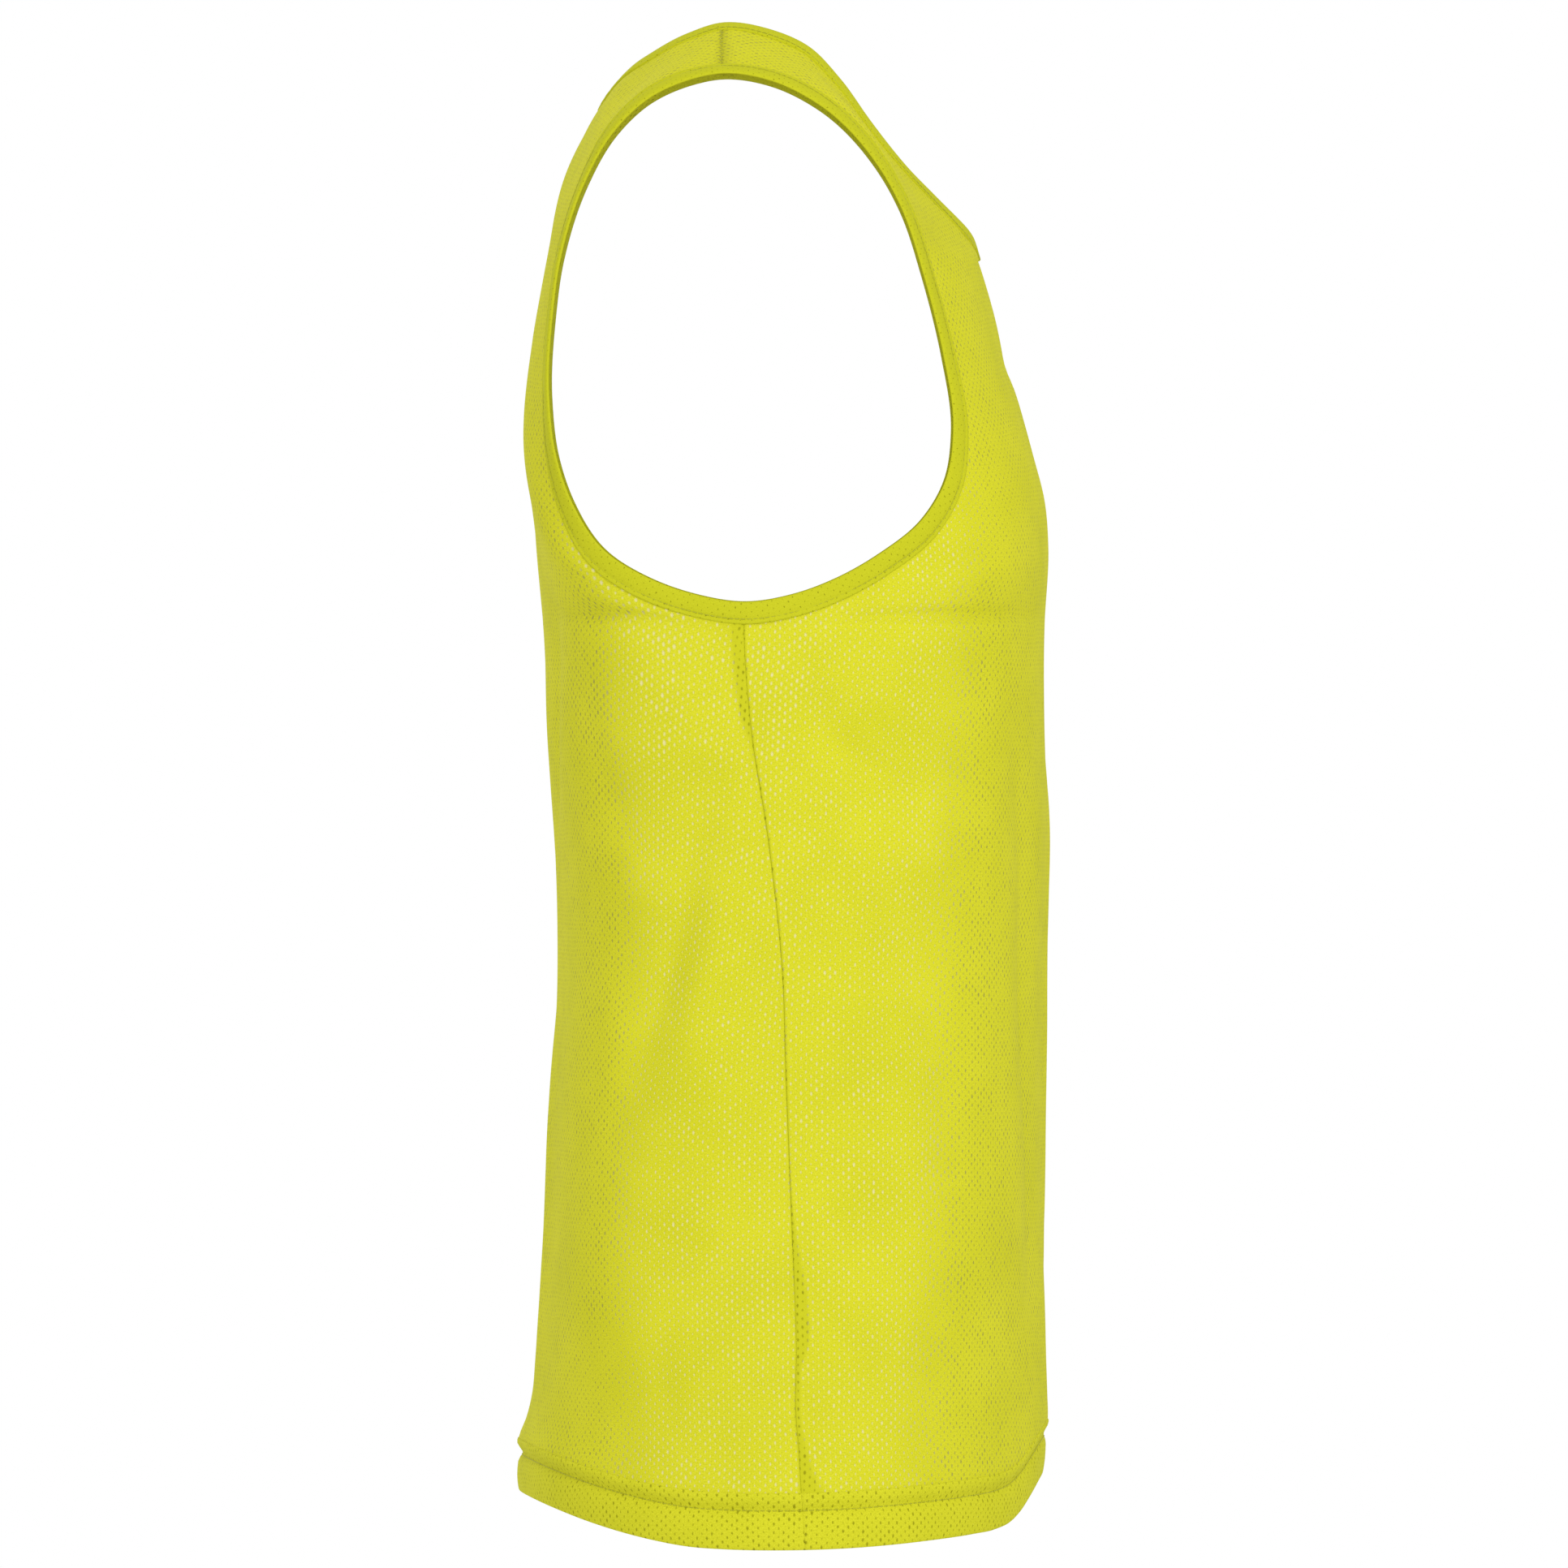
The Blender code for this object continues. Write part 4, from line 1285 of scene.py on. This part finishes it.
def hem(name, half, node):
    """One half of the hem: the cloth turned up and stitched, as a closed fold round its section."""
    section = np.array(HEM_SECTION)
    heights = section[:, 0]
    order = np.argsort(heights, kind="stable")
    plain = half.rows(heights[order], False)
    grid = np.empty_like(plain)
    grid[order] = plain
    levels = np.arange(HEM_LEVELS, dtype=float)
    base = half.rows(levels, False)
    side, height = half.grain(base)
    points, quads, grains, ends = [], [], [], []
    count = 0
    rows, columns = grid.shape[:2]
    for sign in (1, -1):
        flip = np.array((sign, 1.0, 1.0))
        normals = grid_normals(base, -half.facing, len(levels)) * flip
        level_normals = np.empty_like(grid)
        for axis in range(3):
            low = np.clip(np.floor(heights).astype(int), 0, len(levels) - 2)
            part = (heights - low)[:, None]
            level_normals[..., axis] = (
                normals[low, :, axis] * (1 - part) + normals[low + 1, :, axis] * part
            )
        level_normals = unit(level_normals)
        placed = grid * flip
        away = from_seam(grid)
        wave = 0.12 * np.sin(placed[..., 0] / MM / 2.3 + 1.7 * np.sin(placed[..., 1] / MM / 9.0))
        pinch = np.exp(-(((heights - HEM_STITCH) / 4) ** 2))[:, None]
        notch = -0.5 * np.exp(-((away / MM / 0.8) ** 2))
        out = swell(placed, level_normals) + (section[:, 1:] + wave * pinch + notch) * MM
        made = placed + level_normals * out[..., None]
        turned = (sign > 0) != half.front
        points.append(made.reshape(-1, 3))
        quads.append(grid_faces(rows, columns, count, turned))
        closing = grid_faces(2, columns, 0, turned)
        lookup = np.concatenate((np.arange(columns) + (rows - 1) * columns, np.arange(columns)))
        quads.append(lookup[closing] + count)
        cap = (np.arange(rows) * columns + columns - 1 + count).tolist()
        ends.append(cap if turned else cap[::-1])
        across = np.stack([np.interp(h, levels, np.arange(len(levels))) for h in heights])
        low = np.clip(np.floor(across).astype(int), 0, len(levels) - 2)
        grain_side = side[low] * sign
        grain_height = height[low] + (across - low)[:, None] * (height[low + 1] - height[low])
        grains.append(
            np.stack((grain_side, grain_height, np.zeros_like(grain_side)), axis=-1).reshape(-1, 3)
        )
        count += rows * columns
    facts = {"grain": np.vstack(grains)}
    piece = make(name, np.vstack(points), np.vstack(quads), doubled_mesh(), facts, ends)
    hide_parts(node)
    return piece


def band_rows(edge, mirror):
    """Points round a whole bound edge, with their normals, directions into the cloth and distances,
    on the wearer's left or mirrored to the right. The neck's right half mirrors its left."""
    if edge.inward > 0:
        whole = edge.place(len(ARMHOLE))
        along = np.linspace(0, whole, int(whole / BAND_STEP) + 1)[:-1]
        found = edge.frame(along)
    else:
        whole = edge.place(len(NECK) - 1)
        along = np.linspace(0, whole, int(whole / BAND_STEP) + 1)
        flip = np.array((-1.0, 1.0, 1.0))
        found = [np.vstack((part, part[-2:0:-1] * flip)) for part in edge.frame(along)]
        along = np.concatenate((along, 2 * whole - along[-2:0:-1]))
    flip = np.array((-1.0 if mirror else 1.0, 1.0, 1.0))
    return [part * flip for part in found] + [along]


def band(name, edge, mirror, node):
    """A bound edge: cloth folded round the raw edge and stitched down, with slight puckers between
    the stitches."""
    points, normals, inward, along = band_rows(edge, mirror)
    section = np.array(BAND_SECTION)
    reach = section[:, 0][None, :, None] * MM
    plain = points[:, None] + inward[:, None] * reach
    facing = np.broadcast_to(normals[:, None], plain.shape)
    wave = 0.10 * np.sin(along[:, None] / 2.1 + 2.0 * np.sin(along[:, None] / 13.0))
    wave = wave * np.exp(-(((section[:, 0] - BAND_STITCH) / 3.0) ** 2))[None]
    off = section[:, 1][None] + wave + 0.25 * np.sin(along[:, None] / 19.0)
    out = folds(plain, facing, FOLDS) + off * MM
    made = plain + facing * out[..., None]
    rows, columns = made.shape[:2]
    turned = mirror == (edge.inward > 0)
    quads = grid_faces(rows + 1, columns + 1, 0, turned)
    across = np.concatenate(((0,), np.cumsum(np.linalg.norm(np.diff(section, axis=0), axis=1))))
    across = np.append(across, across[-1] + BAND_CLOSING)
    round_edge = np.append(along, along[-1] + BAND_STEP)
    grain = np.stack(
        np.broadcast_arrays(round_edge[:, None], across[None], np.zeros((1, 1))), axis=-1
    ).reshape(-1, 3)[quads]
    row, column = np.divmod(quads, columns + 1)
    quads = (row % rows) * columns + column % columns
    facts = {"grain": grain.reshape(-1, 3)}
    piece = make(name, made.reshape(-1, 3), quads, binding_mesh(), facts)
    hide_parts(node)
    return piece


def seam_allowance(name, mirror):
    """The allowance of a side seam: the two raw edges, overlocked together and lying against the
    inside of the cloth, towards the front or the back as the wearer's movement left them."""
    cloth = sizes().cloth
    sign = -1 if mirror else 1
    heights = np.linspace(20, halves()[0].drop() / MM - 1, 110)
    strips = []
    for half in halves():
        grid = half.rows(heights, False)
        made, normals = half.finish(grid, sign, len(heights))
        away = from_seam(grid)
        made = made + normals * seam_pull(away, grid[..., 2], half.front)[..., None]
        reach = allowance(grid[:, -1, 2], half.front)
        stops = np.linspace(1, 0, 6)[None] * reach[:, None] * MM
        wanted = []
        for index in range(len(heights)):
            far = away[index][::-1]
            wanted.append(
                [
                    np.interp(stops[index], far, part[index][::-1][:, axis])
                    for part in (made, normals)
                    for axis in range(3)
                ]
            )
        wanted = np.array(wanted)
        place = np.moveaxis(wanted[:, :3], 1, 2)
        facing = unit(np.moveaxis(wanted[:, 3:], 1, 2))
        strips.append((place, facing))
    front, back = strips
    place = np.concatenate((front[0], back[0][:, ::-1][:, 1:]), axis=1)
    facing = np.concatenate((front[1], back[1][:, ::-1][:, 1:]), axis=1)
    near = place - facing * (cloth + 0.15 * MM)
    far = place - facing * (cloth + 1.15 * MM)
    loop = np.concatenate((near, far[:, ::-1]), axis=1)
    rows, columns = loop.shape[:2]
    quads = grid_faces(rows, columns, 0, mirror, around=True)
    first = np.arange(columns).tolist()
    last = (np.arange(columns) + (rows - 1) * columns).tolist()
    ends = (first if mirror else first[::-1], last[::-1] if mirror else last)
    across = np.concatenate(
        (np.zeros((rows, 1)), np.cumsum(np.linalg.norm(np.diff(loop, axis=1), axis=2), axis=1)),
        axis=1,
    )
    grain = np.stack(
        np.broadcast_arrays(across / MM, loop[:, :1, 2] / MM, np.zeros((1, 1))), axis=-1
    ).reshape(-1, 3)
    piece = make(name, loop.reshape(-1, 3), quads, doubled_mesh(), {"grain": grain}, ends)
    return piece


def resample(points, normals, step):
    """A path again with points at even distances, and its normals."""
    run = np.linalg.norm(np.diff(points, axis=0), axis=1)
    along = np.concatenate(((0,), np.cumsum(run)))
    stops = np.linspace(0, along[-1], max(int(along[-1] / step), 1) + 1)
    made = [
        np.stack([np.interp(stops, along, part[:, axis]) for axis in range(3)], axis=1)
        for part in (points, normals)
    ]
    return made[0], unit(made[1])


def stitches(paths, slant=0.0):
    """Stitches along paths of points and normals: each is a short rounded length of thread, four
    sided, thick in the middle and sunk at both ends. The slant turns each one sideways, to one side
    and the other in turn where it is a zigzag."""
    size = sizes()
    stations = np.array((0.0, 0.12, 0.5, 0.88, 1.0))
    thick = np.array((0.25, 0.9, 1.0, 0.9, 0.25)) * size.thread / 2
    rise = np.array((-0.25, 0.25, 0.45, 0.25, -0.25)) * size.thread
    turn = np.radians((0, 90, 180, 270))
    points, quads, count = [], [], 0
    for path, normals in paths:
        place, facing = resample(path, normals, size.stitch)
        start, end = place[:-1], place[1:]
        normal = unit(facing[:-1] + facing[1:])
        way = end - start
        cross = unit(np.cross(normal, way))
        lean = slant * np.where(np.arange(len(start)) % 2, 1, -1)[:, None] * cross
        start, end = start - lean / 2, end + lean / 2
        way = (end - start) * 0.86
        start = start + (end - start) * 0.07
        line = start[:, None] + way[:, None] * stations[None, :, None]
        line = line + normal[:, None] * rise[None, :, None]
        round_way = (
            np.cos(turn)[None, None, :, None] * cross[:, None, None]
            + np.sin(turn)[None, None, :, None] * normal[:, None, None]
        )
        body_points = line[:, :, None] + round_way * thick[None, :, None, None]
        number = len(start)
        points.append(body_points.reshape(-1, 3))
        one = grid_faces(len(stations), len(turn), 0, True, around=True)
        caps = np.array(((0, 1, 2, 3), (19, 18, 17, 16)))
        whole = np.vstack((one, caps))
        quads.append(
            (whole[None] + np.arange(number)[:, None, None] * 20).reshape(-1, 4) + count
        )
        count += number * 20
    return np.vstack(points), np.vstack(quads)


def sewing(name, paths, slant=0.0):
    """A piece of joined stitches."""
    points, quads = stitches(paths, slant)
    mesh = bpy.data.meshes.new(name)
    mesh.from_pydata(points.tolist(), [], quads.tolist())
    mesh.shade_smooth()
    mesh.materials.append(sewing_thread())
    piece = bpy.data.objects.new(name, mesh)
    bpy.context.scene.collection.objects.link(piece)
    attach(piece, "root")
    return piece


def hem_line(half, sign, height, out):
    """A path round one half of the hem at a height, off the cloth by out."""
    grid = half.rows((height - 1, height, height + 1), False)
    made, normals = half.finish(grid, sign, 3)
    return made[1] + normals[1] * out * MM, normals[1]


class BIB_OT_panels(bpy.types.Operator):
    """Build the front and back of single mesh"""

    bl_idname = "bib.panels"
    bl_label = "Mesh panels"

    def execute(self, context):
        front, back = halves()
        for name, half, node, cut in (
            ("front_mesh", front, "front_panel", FRONT_CUT),
            ("back_mesh", back, "back_panel", BACK_CUT),
        ):
            piece = panel(name, half, node)
        return {"FINISHED"}


class BIB_OT_hems(bpy.types.Operator):
    """Build the turned-up hem of the front and the back"""

    bl_idname = "bib.hems"
    bl_label = "Hem"

    def execute(self, context):
        front, back = halves()
        for name, half, node, cut in (
            ("front_hem_fold", front, "hem_front", FRONT_HEM_CUT),
            ("back_hem_fold", back, "hem_back", BACK_HEM_CUT),
        ):
            piece = hem(name, half, node)
        return {"FINISHED"}


class BIB_OT_bands(bpy.types.Operator):
    """Build the bound edges of the armholes and the neck"""

    bl_idname = "bib.bands"
    bl_label = "Bound edges"

    def execute(self, context):
        armhole, neck = edges()
        for name, edge, mirror, node, cut in (
            ("left_armhole_binding", armhole, False, "armhole_band_left", ARMHOLE_CUT),
            ("right_armhole_binding", armhole, True, "armhole_band_right", ARMHOLE_CUT),
            ("neck_binding", neck, False, "neck_band", NECK_CUT),
        ):
            piece = band(name, edge, mirror, node)
        return {"FINISHED"}


class BIB_OT_seams(bpy.types.Operator):
    """Build the allowances behind the side seams"""

    bl_idname = "bib.seams"
    bl_label = "Seam allowances"

    def execute(self, context):
        for name, mirror in (("left_seam_allowance", False), ("right_seam_allowance", True)):
            piece = seam_allowance(name, mirror)
        return {"FINISHED"}


class BIB_OT_sewing(bpy.types.Operator):
    """Sew the stitch rows of the hem, the bound edges and the shoulder seams"""

    bl_idname = "bib.sewing"
    bl_label = "Stitching"

    def execute(self, context):
        paths = [
            hem_line(half, sign, HEM_STITCH, 0.12) for half in halves() for sign in (1, -1)
        ]
        sewing("hem_stitching", paths)
        armhole, neck = edges()
        paths = []
        for edge, mirror in ((armhole, False), (armhole, True), (neck, False)):
            points, normals, inward, _ = band_rows(edge, mirror)
            plain = points + inward * BAND_STITCH * MM
            path = plain + normals * (folds(plain, normals, FOLDS) + 0.42 * MM)[:, None]
            paths.append((np.vstack((path, path[:1])), np.vstack((normals, normals[:1]))))
        sewing("binding_stitching", paths)
        paths = []
        front = halves()[0]
        grid = front.rows((100, 200), True)
        for sign in (1, -1):
            made, normals = front.finish(grid, sign, 2)
            paths.append((made[-1] + normals[-1] * 0.1 * MM, normals[-1]))
        sewing("shoulder_overlock", paths, slant=1.6 * MM)
        return {"FINISHED"}


class BIB_OT_stage(bpy.types.Operator):
    """Set up the white studio, its floor, its lights and the camera"""

    bl_idname = "bib.stage"
    bl_label = "Studio"

    def execute(self, context):
        scene = context.scene
        stage = scene.bib_stage
        scene.view_settings.view_transform = "Standard"
        world = bpy.data.worlds.new("white_room")
        world.use_nodes = True
        tree = world.node_tree
        lit = tree.nodes["Background"]
        lit.inputs["Color"].default_value = (1.0, 1.0, 1.0, 1.0)
        lit.inputs["Strength"].default_value = stage.fill
        seen = add(tree, "ShaderNodeBackground", {}, {"Color": (1.0, 1.0, 1.0, 1.0), "Strength": 1.0})
        path = add(tree, "ShaderNodeLightPath")
        choice = add(
            tree,
            "ShaderNodeMixShader",
            {},
            {0: path.outputs["Is Camera Ray"], 1: lit.outputs[0], 2: seen.outputs[0]},
        )
        tree.links.new(choice.outputs[0], tree.nodes["World Output"].inputs["Surface"])
        scene.world = world
        ring = np.linspace(0, 2 * np.pi, 65)[:-1]
        disc = np.stack(
            (FLOOR_RADIUS * np.cos(ring), FLOOR_RADIUS * np.sin(ring), np.full(len(ring), FLOOR_Z)),
            axis=1,
        )
        mesh = bpy.data.meshes.new("studio_floor")
        mesh.from_pydata(disc.tolist(), [], [list(range(len(ring)))])
        paint = bpy.data.materials.new("matt_white_floor_paint")
        paint.use_nodes = True
        shader = paint.node_tree.nodes["Principled BSDF"]
        shader.inputs["Base Color"].default_value = linear(colours().floor)
        shader.inputs["Roughness"].default_value = 0.9
        mesh.materials.append(paint)
        floor = bpy.data.objects.new("studio_floor", mesh)
        scene.collection.objects.link(floor)
        middle = np.array(MIDDLE)
        for name, place, share in LIGHTS:
            lamp = bpy.data.lights.new(name, "AREA")
            lamp.shape = "DISK"
            lamp.size = LIGHT_WIDTH
            lamp.energy = stage.key * share
            holder = bpy.data.objects.new(name, lamp)
            aim(holder, middle + place, middle)
            scene.collection.objects.link(holder)
        camera = bpy.data.cameras.new("camera")
        camera.lens = stage.lens
        camera.sensor_width = SENSOR_WIDTH
        distance = PICTURE * stage.lens / SENSOR_WIDTH
        camera.clip_end = 2 * distance
        holder = bpy.data.objects.new("camera", camera)
        back = np.array((-math.cos(stage.tilt), 0.0, math.sin(stage.tilt)))
        aim(holder, middle + back * distance, middle)
        scene.collection.objects.link(holder)
        scene.camera = holder
        return {"FINISHED"}


def aim(holder, place, target):
    """Put a light or camera at a place and turn it to its target."""
    holder.location = Vector([float(value) for value in place])
    way = Vector([float(value) for value in target]) - holder.location
    holder.rotation_euler = way.to_track_quat("-Z", "Y").to_euler()


class BIB_PT_sidebar(bpy.types.Panel):
    """The bib's sizes and colours, and the pieces to build"""

    bl_label = "Mesh training bib"
    bl_idname = "BIB_PT_sidebar"
    bl_space_type = "VIEW_3D"
    bl_region_type = "UI"
    bl_category = "Bib"

    def draw(self, context):
        layout = self.layout
        for group in (context.scene.bib_sizes, context.scene.bib_colours, context.scene.bib_stage):
            box = layout.box()
            for key in group.__annotations__:
                box.prop(group, key)
        for operator in OPERATORS:
            layout.operator(operator.bl_idname)


OPERATORS = (
    BIB_OT_panels,
    BIB_OT_hems,
    BIB_OT_bands,
    BIB_OT_seams,
    BIB_OT_sewing,
    BIB_OT_stage,
)
GROUPS = (
    ("bib_sizes", BibSizes),
    ("bib_colours", BibColours),
    ("bib_stage", BibStage),
)


def register():
    """Register the classes and hang the property groups on the scene."""
    for name, group in GROUPS:
        bpy.utils.register_class(group)
        setattr(bpy.types.Scene, name, bpy.props.PointerProperty(type=group))
    for item in OPERATORS + (BIB_PT_sidebar,):
        bpy.utils.register_class(item)


def unregister():
    """Take the classes and property groups away again."""
    for item in (BIB_PT_sidebar,) + OPERATORS[::-1]:
        bpy.utils.unregister_class(item)
    for name, group in GROUPS[::-1]:
        delattr(bpy.types.Scene, name)
        bpy.utils.unregister_class(group)


def main():
    """Build every piece and the studio."""
    register()
    bpy.ops.bib.panels()
    bpy.ops.bib.hems()
    bpy.ops.bib.bands()
    bpy.ops.bib.seams()
    bpy.ops.bib.sewing()
    bpy.ops.bib.stage()


if __name__ == "__main__":
    main()
